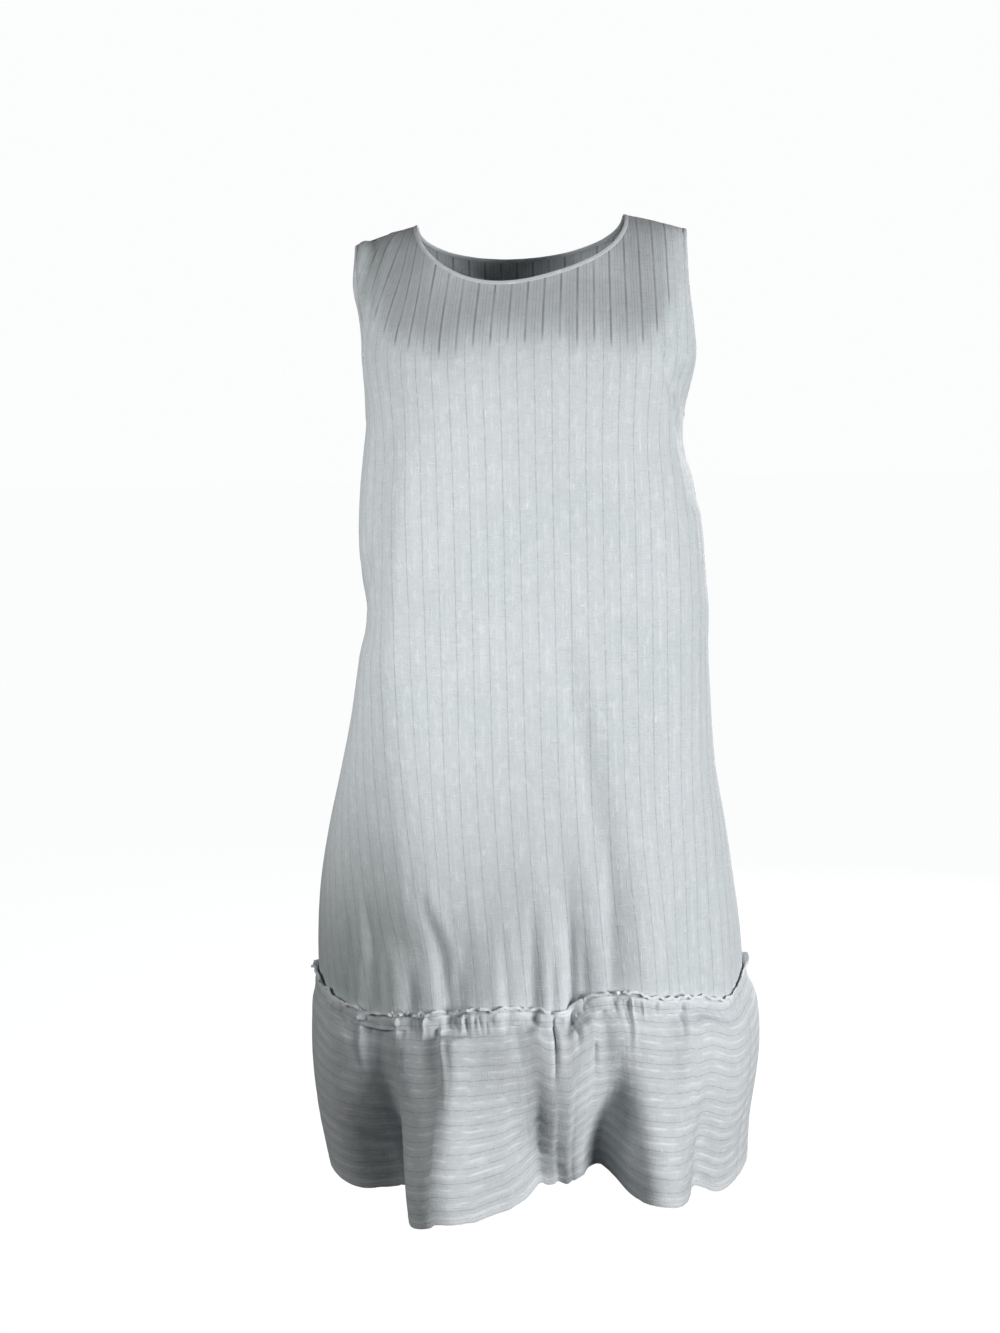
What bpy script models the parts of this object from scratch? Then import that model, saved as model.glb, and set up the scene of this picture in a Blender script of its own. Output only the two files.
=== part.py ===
"""Sleeveless A-line linen dress with a gathered flounce at the hem, worn form, hollow.

Metres, +Z up, the front faces -Y. The origin is midway between the two shoulder
seams' neck ends: z = 0 is where the shoulders carry the dress.

The cloth is a wall WALL thick, worked out from sections:
  body      S(side, a, v): a = -1..1 across from the left to the right side seam,
            v = metres of cloth down the centre from the shoulder ridge
  flounce   F(tau, l): tau = -2..2 once round, l = metres of cloth below the stitches
Every edge of a piece keeps GAP to the next piece.
"""

import bpy
import numpy as np

WALL = 0.0012  # cloth wall
GAP = 0.0003  # clearance at each seam

# side outline seen from the front; above the armhole it is the width that the
# cloth would have if it ran on round the arm
OUTLINE = [  # z, left, right
    (0.020, -0.1630, 0.1620),
    (-0.030, -0.1660, 0.1620),
    (-0.065, -0.1670, 0.1635),
    (-0.100, -0.1635, 0.1660),
    (-0.130, -0.1585, 0.1655),
    (-0.160, -0.1525, 0.1580),
    (-0.190, -0.1505, 0.1510),
    (-0.215, -0.1535, 0.1500),
    (-0.250, -0.1575, 0.1590),
    (-0.290, -0.1600, 0.1650),
    (-0.335, -0.1590, 0.1680),
    (-0.368, -0.1550, 0.1705),
    (-0.405, -0.1600, 0.1700),
    (-0.463, -0.1700, 0.1720),
    (-0.520, -0.1835, 0.1760),
    (-0.580, -0.1980, 0.1860),
    (-0.640, -0.2080, 0.1940),
    (-0.700, -0.2115, 0.2005),
    (-0.750, -0.2095, 0.2015),
]
# centre line and section of each panel, a row for each height
FRONT = [  # z, depth, droop to the shoulder tip, tilt, squareness
    (0.0075, 0.0000, 0.030, 0.0055, 2.30),
    (0.0050, 0.0200, 0.029, 0.0055, 2.30),
    (-0.0080, 0.0450, 0.026, 0.0050, 2.30),
    (-0.0330, 0.0670, 0.022, 0.0045, 2.30),
    (-0.0650, 0.0840, 0.016, 0.0035, 2.30),
    (-0.1050, 0.1020, 0.009, 0.0025, 2.30),
    (-0.1450, 0.1150, 0.003, 0.0010, 2.40),
    (-0.1850, 0.1215, 0.000, 0.0000, 2.55),
    (-0.2250, 0.1230, 0.000, 0.0000, 2.80),
    (-0.2900, 0.1205, 0.000, 0.0000, 3.10),
    (-0.3600, 0.1190, 0.000, 0.0000, 3.20),
    (-0.4400, 0.1220, 0.000, 0.0000, 3.00),
    (-0.5200, 0.1305, 0.000, 0.0000, 2.60),
    (-0.6000, 0.1420, 0.000, 0.0000, 2.30),
    (-0.6700, 0.1520, 0.000, 0.0000, 2.20),
    (-0.7500, 0.1630, 0.000, 0.0000, 2.15),
]
BACK = [
    (0.0075, 0.0000, 0.030, 0.0055, 2.30),
    (0.0060, 0.0220, 0.029, 0.0055, 2.30),
    (-0.0050, 0.0500, 0.026, 0.0050, 2.30),
    (-0.0290, 0.0740, 0.022, 0.0045, 2.35),
    (-0.0650, 0.0910, 0.016, 0.0035, 2.40),
    (-0.1050, 0.1020, 0.009, 0.0025, 2.45),
    (-0.1450, 0.1070, 0.003, 0.0010, 2.45),
    (-0.1850, 0.1080, 0.000, 0.0000, 2.40),
    (-0.2250, 0.1070, 0.000, 0.0000, 2.40),
    (-0.2900, 0.1040, 0.000, 0.0000, 2.35),
    (-0.3600, 0.1040, 0.000, 0.0000, 2.30),
    (-0.4400, 0.1100, 0.000, 0.0000, 2.25),
    (-0.5200, 0.1220, 0.000, 0.0000, 2.20),
    (-0.6000, 0.1340, 0.000, 0.0000, 2.15),
    (-0.6700, 0.1430, 0.000, 0.0000, 2.15),
    (-0.7500, 0.1530, 0.000, 0.0000, 2.15),
]
ASPECT = 0.75  # depth to half-width of the section that spaces the columns

NECK_HALF, NECK_MID = 0.1005, -0.0005  # half-width and centre of the neck opening
NECK_DROP = {-1: 0.0610, 1: 0.0340}  # front and back neckline below the neck ends
NECK_SKEW = {-1: 0.0035, 1: 0.0}  # the front's lowest point lies left of centre
TIP_X = (-0.1535, 0.1520)  # shoulder tips, left and right
PIT_Z = -0.190  # lowest point of both armholes
SCOOP = {-1: 0.045, 1: 0.030}  # how far each armhole edge cuts in below the shoulder
CHEST_TIP, CHEST_NECK = 0.70, 0.58  # a below the shoulder tips and the neck ends
EDGE_WIDE, EDGE_THICK = 0.0038, 0.0019  # the bound edges of neck and armholes

JOIN = [  # x, z: the stitched join of body and flounce along the front
    (-0.212, -0.7190),
    (-0.188, -0.7320),
    (-0.166, -0.7360),
    (-0.122, -0.7335),
    (-0.084, -0.7290),
    (-0.040, -0.7245),
    (0.010, -0.7270),
    (0.028, -0.7280),
    (0.046, -0.7165),
    (0.076, -0.7140),
    (0.110, -0.7215),
    (0.150, -0.7295),
    (0.185, -0.7370),
    (0.203, -0.7220),
]
LAP = 0.008  # the body's raw edge runs on behind the flounce
HEAD = 0.0065  # the flounce's raw edge stands above the stitches
DROP = 0.194  # cloth from the stitches to the hem

FLOUNCE = [  # cloth below the stitches, left, right, front, back
    (0.000, -0.2138, 0.2055, 0.1620, 0.1520),
    (0.012, -0.2145, 0.2085, 0.1660, 0.1560),
    (0.035, -0.2185, 0.2145, 0.1720, 0.1625),
    (0.075, -0.2205, 0.2165, 0.1750, 0.1670),
    (0.115, -0.2180, 0.2125, 0.1710, 0.1660),
    (0.150, -0.2140, 0.2075, 0.1630, 0.1610),
    (0.194, -0.2065, 0.2045, 0.1520, 0.1520),
]
FLOUNCE_SQUARE = 2.15
# folds of the flounce: x where it meets the hem, half-width, depth at the hem
# (outwards +), cloth below the stitches where it starts, lean of its foot
FOLDS = {
    -1: [
        (-0.158, 0.032, -0.040, 0.030, 0.000),
        (-0.133, 0.014, -0.024, 0.015, -0.006),
        (-0.086, 0.033, 0.054, 0.045, 0.004),
        (0.002, 0.024, -0.032, 0.030, -0.022),
        (0.026, 0.016, -0.006, 0.080, 0.000),
        (0.060, 0.0185, -0.050, 0.030, 0.004),
        (0.099, 0.030, 0.036, 0.060, 0.000),
        (0.152, 0.015, -0.014, 0.020, 0.002),
        (0.180, 0.016, -0.010, 0.040, 0.000),
    ],
    1: [
        (-0.172, 0.018, 0.010, 0.030, 0.000),
        (-0.132, 0.019, -0.036, 0.020, 0.006),
        (-0.086, 0.026, 0.024, 0.050, 0.000),
        (-0.036, 0.018, -0.058, 0.030, -0.006),
        (0.016, 0.030, 0.030, 0.045, 0.000),
        (0.070, 0.017, -0.042, 0.025, 0.008),
        (0.112, 0.022, 0.018, 0.060, 0.000),
        (0.156, 0.016, -0.022, 0.020, 0.004),
    ],
}
GATHERS, GATHER_DEEP = 21, 0.0022  # pleats along half the join, and their depth
SEAM_RIGHT, SEAM_LEFT = 0.82, -1.12  # side seams of the flounce, in turns of tau

# large soft troughs and ridges of the body: x at the top and at the foot, z at the
# top and at the foot, half-width, depth (outwards +), fade at the top and the foot
CREASES = {
    -1: [
        (-0.128, -0.150, -0.180, -0.385, 0.013, -0.0090, 0.05, 0.03),  # under the left arm
        (-0.108, -0.134, -0.200, -0.400, 0.016, 0.0030, 0.06, 0.06),
        (0.140, 0.158, -0.130, -0.262, 0.010, -0.0060, 0.03, 0.02),  # under the right arm
        (-0.130, -0.106, -0.300, -0.645, 0.042, 0.0120, 0.22, 0.055),  # left front corner
        (-0.082, -0.070, -0.600, -0.645, 0.016, -0.0060, 0.10, 0.055),
        (-0.014, -0.010, -0.640, -0.645, 0.014, -0.0050, 0.08, 0.055),
        (0.024, 0.034, -0.520, -0.645, 0.020, -0.0080, 0.16, 0.055),
        (0.140, 0.150, -0.600, -0.645, 0.018, -0.0050, 0.10, 0.055),
        (0.085, 0.090, -0.560, -0.645, 0.026, 0.0050, 0.14, 0.055),
        (-0.045, -0.042, -0.620, -0.645, 0.018, 0.0040, 0.10, 0.055),
    ],
    1: [
        (-0.100, -0.118, -0.420, -0.645, 0.024, -0.0070, 0.14, 0.055),
        (-0.040, -0.050, -0.520, -0.645, 0.022, 0.0060, 0.14, 0.055),
        (0.012, 0.006, -0.380, -0.645, 0.026, -0.0080, 0.18, 0.055),
        (0.070, 0.078, -0.500, -0.645, 0.022, 0.0050, 0.14, 0.055),
        (0.112, 0.132, -0.440, -0.645, 0.022, -0.0070, 0.14, 0.055),
        (0.000, 0.000, -0.250, -0.420, 0.045, -0.0060, 0.08, 0.08),
    ],
}


# ---------------------------------------------------------------- shape functions


def smooth(xs, ys, x):
    """A smooth curve through (xs, ys), held level past both ends."""
    xs, ys = np.asarray(xs, float), np.asarray(ys, float)
    if xs[0] > xs[-1]:
        xs, ys = xs[::-1], ys[::-1]
    x = np.clip(np.asarray(x, float), xs[0], xs[-1])
    m = np.gradient(ys, xs)
    i = np.clip(np.searchsorted(xs, x, side="right") - 1, 0, len(xs) - 2)
    h = xs[i + 1] - xs[i]
    u = (x - xs[i]) / h
    return (
        (2 * u**3 - 3 * u**2 + 1) * ys[i]
        + (u**3 - 2 * u**2 + u) * h * m[i]
        + (3 * u**2 - 2 * u**3) * ys[i + 1]
        + (u**3 - u**2) * h * m[i + 1]
    )


def column(rows, k):
    return np.array([r[k] for r in rows])


def ease(x):
    x = np.clip(x, 0, 1)
    return x * x * (3 - 2 * x)


def unit(tau, square):
    """Point of the unit section at tau: 0 front, 1 right, 2 back, -1 left."""
    t = 0.5 * np.pi * (1 - np.asarray(tau, float))
    c, s = np.cos(t), np.sin(t)
    r = (np.abs(c) ** square + (np.abs(s) / ASPECT) ** square) ** (-1 / square)
    return r * c, r * s / ASPECT


def span_of(x_share, square):
    """The a in -1..1 whose unit section point lies at x_share."""
    a = np.linspace(-1, 1, 801)
    return np.interp(x_share, unit(a, square)[0], a)


def run_of(rows):
    """Metres of cloth down the centre line to each row."""
    z, d = column(rows, 0), column(rows, 1)
    return np.concatenate([[0], np.cumsum(np.hypot(np.diff(z), np.diff(d)))])


ROWS = {-1: FRONT, 1: BACK}
RUN = {k: run_of(r) for k, r in ROWS.items()}


def outline(z):
    zs = column(OUTLINE, 0)
    left, right = smooth(zs, column(OUTLINE, 1), z), smooth(zs, column(OUTLINE, 2), z)
    return (left + right) / 2, (right - left) / 2


def plain_body(side, a, v):
    rows, run = ROWS[side], RUN[side]
    z0, d, droop, tilt, square = (smooth(run, column(rows, k), v) for k in range(5))
    X, Y = unit(a, square)
    z = z0 - droop * X * X + tilt * X
    mid, half = outline(z)
    return np.stack([mid + half * X, side * (GAP / 2 + d * Y), z], -1)


def creases(side, x, z):
    out = 0
    for x0, x1, z0, z1, half, deep, fade0, fade1 in CREASES[side]:
        along = (z0 - z) / (z0 - z1)
        here = x0 + (x1 - x0) * np.clip(along, 0, 1)
        fade = ease((z0 - z) / fade0) * ease((z - z1 + fade1) / fade1)
        out = out + deep * fade * np.exp(-(((x - here) / half) ** 2))
    return out


def normal_of(point, p, q, h=2e-4):
    """Unit normal of a surface point(p, q), and the point itself."""
    dp = point(p + h, q) - point(p - h, q)
    dq = point(p, q + h) - point(p, q - h)
    n = np.cross(dp, dq)
    return n / np.linalg.norm(n, axis=-1, keepdims=True)


def body(side, a, v):
    """Middle of the body's cloth, and its outward normal, as points and vectors."""
    a, v = np.broadcast_arrays(np.asarray(a, float), np.asarray(v, float))

    def plain(a, v):
        return plain_body(side, np.clip(a, -1, 1), np.maximum(v, 0))

    def creased(a, v):
        a, v = np.clip(a, -1, 1), np.maximum(v, 0)
        p = plain(a, v)
        n = side * normal_of(plain, a, v)
        n[..., 1] = np.where(np.abs(a) > 1 - 1e-6, 0, n[..., 1])
        edge = 1 - np.abs(a) ** 10
        return p + n * (creases(side, p[..., 0], p[..., 2]) * edge)[..., None]

    n = side * normal_of(creased, a, v)
    seam = (np.abs(a) > 1 - 1e-6) | (v < 1e-6)
    n[..., 1] = np.where(seam, 0, n[..., 1])
    n /= np.linalg.norm(n, axis=-1, keepdims=True)
    return creased(a, v), n


def join_z(tau):
    """Height of the stitches all round."""
    front = (np.asarray(tau) > -1) & (np.asarray(tau) < 1)
    X = unit(tau, FLOUNCE_SQUARE)[0]
    line = smooth(column(JOIN, 0), column(JOIN, 1), -0.0045 + 0.2085 * X)
    ends = np.where(X > 0, JOIN[-1][1], JOIN[0][1])
    plain = ends - 0.003 * np.sin(2.4 * np.pi * X) * (1 - X * X)
    return np.where(front, line, plain)


def run_at(side, z):
    """Metres down the centre line where a body section has the height z."""
    v = np.linspace(0, RUN[side][-1], 1500)
    zz = smooth(RUN[side], column(ROWS[side], 0), v)
    return np.interp(-np.asarray(z), -zz, v)


# ---------------------------------------------------------------- edges of the panels


def ridge_a(x):
    """a on the shoulder ridge at x."""
    a = np.linspace(-1, 1, 801)
    return np.interp(x, plain_body(-1, a, 0 * a)[:, 0], a)


def evenly(side, edge, count):
    """count + 1 points of a dense (a, v) line, equally far apart on the cloth."""
    p = plain_body(side, edge[:, 0], edge[:, 1])
    run = np.concatenate([[0], np.cumsum(np.linalg.norm(np.diff(p, axis=0), axis=1))])
    at = np.linspace(0, run[-1], count + 1)
    return np.stack([np.interp(at, run, edge[:, 0]), np.interp(at, run, edge[:, 1])], -1)


def neck_edge(side, count, dense=240):
    """(a, v) along a panel's neckline, left to right."""
    ends = plain_body(side, ridge_a([NECK_MID - NECK_HALF, NECK_MID + NECK_HALF]), [0, 0])
    turn = np.linspace(0, np.pi, dense + 1)
    X = -np.cos(turn)
    x = NECK_MID + NECK_HALF * X
    z = (ends[0, 2] + ends[1, 2]) / 2 + (ends[1, 2] - ends[0, 2]) / 2 * X
    z = z - NECK_DROP[side] * np.sin(turn) + NECK_SKEW[side] * np.sin(np.pi * X)
    low, high = np.zeros(dense + 1), np.full(dense + 1, 0.2)
    for _ in range(40):
        v = (low + high) / 2
        a = across(side, x, v)
        over = plain_body(side, a, v)[:, 2] > z
        low, high = np.where(over, v, low), np.where(over, high, v)
    v = (low + high) / 2
    v[[0, -1]] = 0
    return evenly(side, np.stack([across(side, x, v), v], -1), count)


def across(side, x, v):
    """a where the section v of a panel passes x."""
    low, high = np.full(len(x), -1.0), np.full(len(x), 1.0)
    for _ in range(40):
        a = (low + high) / 2
        less = plain_body(side, a, v)[:, 0] < x
        low, high = np.where(less, a, low), np.where(less, high, a)
    return (low + high) / 2


def arm_edge(side, hand, count, dense=160):
    """(a, v) along an armhole from the lowest point up to the shoulder tip.
    hand: -1 left, 1 right."""
    pit = run_at(side, PIT_Z)
    tip = abs(float(ridge_a(TIP_X[(hand + 1) // 2])))
    turn = np.linspace(np.pi / 2, 0, dense + 1)
    a = 1 - (1 - tip) * np.cos(turn) - SCOOP[side] * np.abs(np.sin(2 * turn)) ** 1.5
    v = pit * np.sin(turn)
    a[0], v[-1] = 1, 0
    return evenly(side, np.stack([hand * a, v], -1), count)


def panel(side, arm, shoulder, neck, down):
    """The (a, v) grid of a body panel: columns from left to right, rows downwards.
    The top edge runs up the left armhole, along the shoulder, round the neckline
    and down again; the foot lies LAP below the stitches."""
    left, right = arm_edge(side, -1, arm), arm_edge(side, 1, arm)
    mid = neck_edge(side, neck)
    step = np.linspace(0, 1, shoulder + 1)[1:-1, None]
    top = np.concatenate(
        [left, left[-1] + (mid[0] - left[-1]) * step, mid, mid[-1] + (right[-1] - mid[-1]) * step, right[::-1]]
    )
    share = [-1, -CHEST_TIP, -CHEST_NECK, CHEST_NECK, CHEST_TIP, 1]
    turns = np.cumsum([0, arm, shoulder, neck, shoulder, arm])
    foot_a = np.interp(np.arange(len(top)), turns, share)
    beside = np.abs(foot_a) > CHEST_TIP
    crowd = ((1 - np.abs(foot_a[beside])) / (1 - CHEST_TIP)) ** 0.6
    foot_a[beside] = np.sign(foot_a[beside]) * (1 - (1 - CHEST_TIP) * crowd)
    tau = foot_a if side < 0 else 2 - foot_a
    tau = np.where(tau > 2, tau - 4, tau)
    foot_v = run_at(side, join_z(tau) - LAP)
    haste = np.interp(np.arange(len(top)), turns, [1, 5, 6, 6, 5, 1])
    high = foot_v[:, None] - LAP - HEAD - 0.003  # rows are close where the flounce lies on
    s = np.linspace(0, 1, down - 1)[None, :] ** 1.2
    v = top[:, 1:] + (high - top[:, 1:]) * s
    v = np.concatenate([v, foot_v[:, None] - LAP, foot_v[:, None]], axis=1)
    slide = 1 - (1 - (v - top[:, 1:]) / (foot_v[:, None] - top[:, 1:])) ** haste[:, None]
    a = top[:, :1] + (foot_a[:, None] - top[:, :1]) * slide
    return a, v


# ---------------------------------------------------------------- flounce


def fold_push(tau, l):
    """How far the folds push the flounce out of its plain section."""
    X = unit(tau, FLOUNCE_SQUARE)[0]
    x = -0.0018 + 0.2048 * X
    out = 0
    for side in (-1, 1):
        here = (np.abs(tau) < 1) if side < 0 else (np.abs(tau) >= 1)
        for x0, half, deep, start, lean in FOLDS[side]:
            grow = ease((l - start) / (DROP - start)) ** 0.8
            at = x0 + lean * (1 - l / DROP)
            out = out + here * deep * grow * np.exp(-np.abs((x - at) / half) ** 2.2)
    return out * (1 - np.abs(X) ** 12)


def wrap(tau):
    return np.where(tau > 2, tau - 4, np.where(tau < -2, tau + 4, tau))


def stitch_line(tau):
    """Points of the stitches: on the outside of the body's cloth."""
    tau = wrap(np.asarray(tau, float))
    front = np.abs(tau) <= 1
    a = np.where(front, tau, np.where(tau > 0, 2 - tau, -2 - tau))
    z = join_z(tau)
    pf, nf = body(-1, a, run_at(-1, z))
    pb, nb = body(1, a, run_at(1, z))
    p, n = np.where(front[..., None], pf, pb), np.where(front[..., None], nf, nb)
    return p + n * (WALL + GAP), n


def flounce(tau, cloth, u, gathers=GATHERS, deep=GATHER_DEEP):
    """Middle of the flounce's cloth: rows for tau, columns for metres of cloth below
    the stitches (negative above them). u is the cloth's own place along the hem."""
    tau = wrap(np.asarray(tau, float))
    start, out = stitch_line(tau)
    out[:, 2] = 0
    out /= np.linalg.norm(out, axis=-1, keepdims=True)
    fine = np.linspace(0, DROP, 77)
    T, L = tau[:, None], fine[None, :]
    X, Y = unit(T, FLOUNCE_SQUARE)
    ls = column(FLOUNCE, 0)
    left, right, front, back = (smooth(ls, column(FLOUNCE, k), L) for k in range(1, 5))
    x = (left + right) / 2 + (right - left) / 2 * X
    y = -np.where(Y > 0, front, back) * Y
    on = ease(L / 0.030)
    x = start[:, :1] * (1 - on) + x * on
    y = start[:, 1:2] * (1 - on) + y * on
    pleat = 0.5 + 0.5 * np.sin(2 * np.pi * gathers * u + 1.7 * np.sin(2 * np.pi * 2.3 * u))
    pleat = pleat[:, None] * deep * ease(L / 0.014) * np.exp(-((L / 0.075) ** 2))
    push = fold_push(T, L) + pleat
    x, y = x + out[:, :1] * push, y + out[:, 1:2] * push
    step = np.hypot(np.diff(x, axis=1), np.diff(y, axis=1))
    fall = np.sqrt(np.maximum(np.diff(fine) ** 2 - step**2, (0.25 * np.diff(fine)) ** 2))
    z = start[:, 2:] - np.concatenate([0 * x[:, :1], np.cumsum(fall, axis=1)], axis=1)
    grid = np.stack([x, y, z], -1)
    points = []
    for l in cloth:
        if l < 0:
            flare = (0.0016 + 0.8 * pleat_wave(u, gathers) * deep) * (l / HEAD) ** 2
            p = start + out * flare[:, None]
            p[:, 2] = start[:, 2] - l
        else:
            k = min(int(l / DROP * 76), 75)
            f = l / DROP * 76 - k
            p = grid[:, k] * (1 - f) + grid[:, k + 1] * f
        points.append(p)
    return np.stack(points, 1)


def pleat_wave(u, gathers):
    return 0.5 + 0.5 * np.sin(2 * np.pi * gathers * u + 1.7 * np.sin(2 * np.pi * 2.3 * u))


def flounce_columns(first, last, count):
    """tau of columns that take equal lengths of cloth along the hem, and the
    length of the hem."""
    tau = np.linspace(first, last, 1600)
    hem = flounce(tau, [DROP], 0 * tau)[:, 0]
    run = np.concatenate([[0], np.cumsum(np.linalg.norm(np.diff(hem, axis=0), axis=1))])
    share = np.linspace(0, 1, count + 1)
    return np.interp(share, run / run[-1], tau), share, run[-1]


# ---------------------------------------------------------------- solids


def grid_normals(p):
    du, dv = np.gradient(p, axis=0), np.gradient(p, axis=1)
    n = np.cross(du, dv)
    return n / np.linalg.norm(n, axis=-1, keepdims=True)


def wall(points, normals):
    """A closed wall round a grid of middle points: (vertices, triangles)."""
    nu, nv = points.shape[:2]
    both = np.concatenate(
        [(points + normals * WALL / 2).reshape(-1, 3), (points - normals * WALL / 2).reshape(-1, 3)]
    )
    flip = nu * nv
    faces = []
    for i in range(nu - 1):
        for j in range(nv - 1):
            a, b, c, d = i * nv + j, (i + 1) * nv + j, (i + 1) * nv + j + 1, i * nv + j + 1
            if np.linalg.norm(both[b] - both[d]) < np.linalg.norm(both[a] - both[c]):
                a, b, c, d = b, c, d, a  # split along the shorter diagonal
            faces += [(a, b, c), (a, c, d), (a + flip, c + flip, b + flip), (a + flip, d + flip, c + flip)]
    rim = [(i, 0) for i in range(nu)] + [(nu - 1, j) for j in range(1, nv)]
    rim += [(i, nv - 1) for i in range(nu - 2, -1, -1)] + [(0, j) for j in range(nv - 2, 0, -1)]
    ids = [i * nv + j for i, j in rim]
    for a, b in zip(ids, ids[1:] + ids[:1]):
        faces += [(b, a, a + flip), (b, a + flip, b + flip)]
    return both, faces


def ring(edge, normals, centre):
    """A bound edge round a closed line of panel points: it lies GAP beyond the
    panels' edge, towards the opening."""
    t = np.roll(edge, -1, axis=0) - np.roll(edge, 1, axis=0)
    t /= np.linalg.norm(t, axis=-1, keepdims=True)
    n = normals - t * np.sum(normals * t, axis=-1, keepdims=True)
    n /= np.linalg.norm(n, axis=-1, keepdims=True)
    b = np.cross(t, n)
    b *= np.sign(np.sum(b * (centre - edge), axis=-1, keepdims=True))
    corners = [(GAP, 1), (GAP + EDGE_WIDE - 0.0005, 1), (GAP + EDGE_WIDE, 0), (GAP + EDGE_WIDE - 0.0005, -1), (GAP, -1)]
    sheets = [edge + b * w + n * (h * EDGE_THICK / 2) for w, h in corners]
    verts = np.stack(sheets, 1)
    count, k = verts.shape[:2]
    faces = []
    for i in range(count):
        for j in range(k):
            a, c = i * k + j, i * k + (j + 1) % k
            d, e = (i + 1) % count * k + j, (i + 1) % count * k + (j + 1) % k
            faces += [(a, c, e), (a, e, d)]
    return verts.reshape(-1, 3), faces


def volume(verts, faces):
    v = np.asarray(verts)[np.asarray(faces)]
    return float(np.einsum("ij,ij->i", v[:, 0], np.cross(v[:, 1], v[:, 2])).sum() / 6)


def finish(name, verts, faces, colour, rough):
    if volume(verts, faces) < 0:
        faces = [f[::-1] for f in faces]
    mesh = bpy.data.meshes.new(name)
    mesh.from_pydata([tuple(v) for v in verts], [], [tuple(int(i) for i in f) for f in faces])
    mesh.validate()
    mesh.shade_smooth()
    thing = bpy.data.objects.new(name, mesh)
    bpy.context.scene.collection.objects.link(thing)
    cloth = bpy.data.materials.new(name)
    cloth.use_nodes = True
    shader = cloth.node_tree.nodes["Principled BSDF"]
    shader.inputs["Base Color"].default_value = (*colour, 1)
    shader.inputs["Roughness"].default_value = rough
    shader.inputs["Metallic"].default_value = 0.0
    mesh.materials.append(cloth)
    return thing


def main():
    for old in list(bpy.data.objects):
        bpy.data.objects.remove(old, do_unlink=True)

    linen, trim = (0.66, 0.70, 0.72), (0.74, 0.77, 0.78)
    arm, shoulder, neck, down = 6, 2, {-1: 16, 1: 14}, {-1: 15, 1: 14}

    for side, name in ((-1, "front_panel"), (1, "back_panel")):
        a, v = panel(side, arm, shoulder, neck[side], down[side])
        p, n = body(side, a, v)
        finish(name, *wall(p, n), linen, 0.85)

    # bound edges, from the panels' own edge points
    neck_front, neck_back = neck_edge(-1, neck[-1]), neck_edge(1, neck[1])
    pf, nf = body(-1, *neck_front.T)
    pb, nb = body(1, *neck_back.T)
    loop = np.concatenate([pf, pb[::-1][1:-1]])
    normals = np.concatenate([nf, nb[::-1][1:-1]])
    loop[[0, len(pf) - 1], 1] = 0
    finish("neck_binding", *ring(loop, normals, np.array([0, 0.0, -0.02])), trim, 0.8)
    for hand, name in ((-1, "armhole_binding_left"), (1, "armhole_binding_right")):
        ef, eb = arm_edge(-1, hand, arm), arm_edge(1, hand, arm)
        pf, nf = body(-1, *ef.T)
        pb, nb = body(1, *eb.T)
        loop = np.concatenate([pf, pb[::-1][1:-1]])
        normals = np.concatenate([nf, nb[::-1][1:-1]])
        loop[[0, len(pf) - 1], 1] = 0
        centre = np.array([hand * 0.155, 0.0, (PIT_Z - 0.02) / 2])
        finish(name, *ring(loop, normals, centre), trim, 0.8)

    # the flounce, front and back, split at its side seams
    cloth = [-HEAD, 0.0, 0.012, 0.035, 0.070, 0.110, 0.150, DROP]
    for name, first, last in (
        ("front_flounce", SEAM_LEFT, SEAM_RIGHT),
        ("back_flounce", SEAM_RIGHT, SEAM_LEFT + 4),
    ):
        shrink = GAP / 2 / 0.16  # the gap at a seam, in turns of tau
        tau, share, hem = flounce_columns(first + shrink, last - shrink, 76)
        p = flounce(tau, cloth, share)
        finish(name, *wall(p, -grid_normals(p)), linen, 0.85)


main()
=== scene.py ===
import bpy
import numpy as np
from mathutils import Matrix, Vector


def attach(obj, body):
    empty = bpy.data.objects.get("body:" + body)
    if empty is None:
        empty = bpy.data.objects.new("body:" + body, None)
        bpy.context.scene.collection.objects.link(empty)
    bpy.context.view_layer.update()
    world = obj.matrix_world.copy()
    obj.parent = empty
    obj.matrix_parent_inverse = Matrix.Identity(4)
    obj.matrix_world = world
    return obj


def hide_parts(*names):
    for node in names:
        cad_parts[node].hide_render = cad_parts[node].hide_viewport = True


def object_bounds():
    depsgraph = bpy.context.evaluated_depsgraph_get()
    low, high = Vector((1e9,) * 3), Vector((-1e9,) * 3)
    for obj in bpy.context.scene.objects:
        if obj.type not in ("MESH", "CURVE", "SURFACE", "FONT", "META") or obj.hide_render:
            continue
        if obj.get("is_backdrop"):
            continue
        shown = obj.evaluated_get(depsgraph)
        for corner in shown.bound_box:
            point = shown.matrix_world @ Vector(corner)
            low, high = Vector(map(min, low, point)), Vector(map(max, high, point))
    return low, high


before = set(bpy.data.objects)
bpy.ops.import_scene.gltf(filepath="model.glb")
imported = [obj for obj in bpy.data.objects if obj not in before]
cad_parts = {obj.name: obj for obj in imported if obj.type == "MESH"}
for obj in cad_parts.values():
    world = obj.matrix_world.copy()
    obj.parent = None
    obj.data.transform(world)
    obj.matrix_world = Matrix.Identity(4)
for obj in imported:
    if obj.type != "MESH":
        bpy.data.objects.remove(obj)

# The looks of the sleeveless A-line linen dress. Metres, the row's own frame: +Z up,
# the front faces -Y, z = 0 where the shoulders carry the dress. The sections, edges
# and folds are those of the solids, shown here at full detail with the fine creases,
# the gathers, the frilled raw edge, the turned hem and the woven stripes.

CAD_LOW, CAD_HIGH = (tuple(c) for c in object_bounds())

WALL = 0.0012  # cloth wall
GAP = 0.0003  # clearance at each seam

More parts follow.
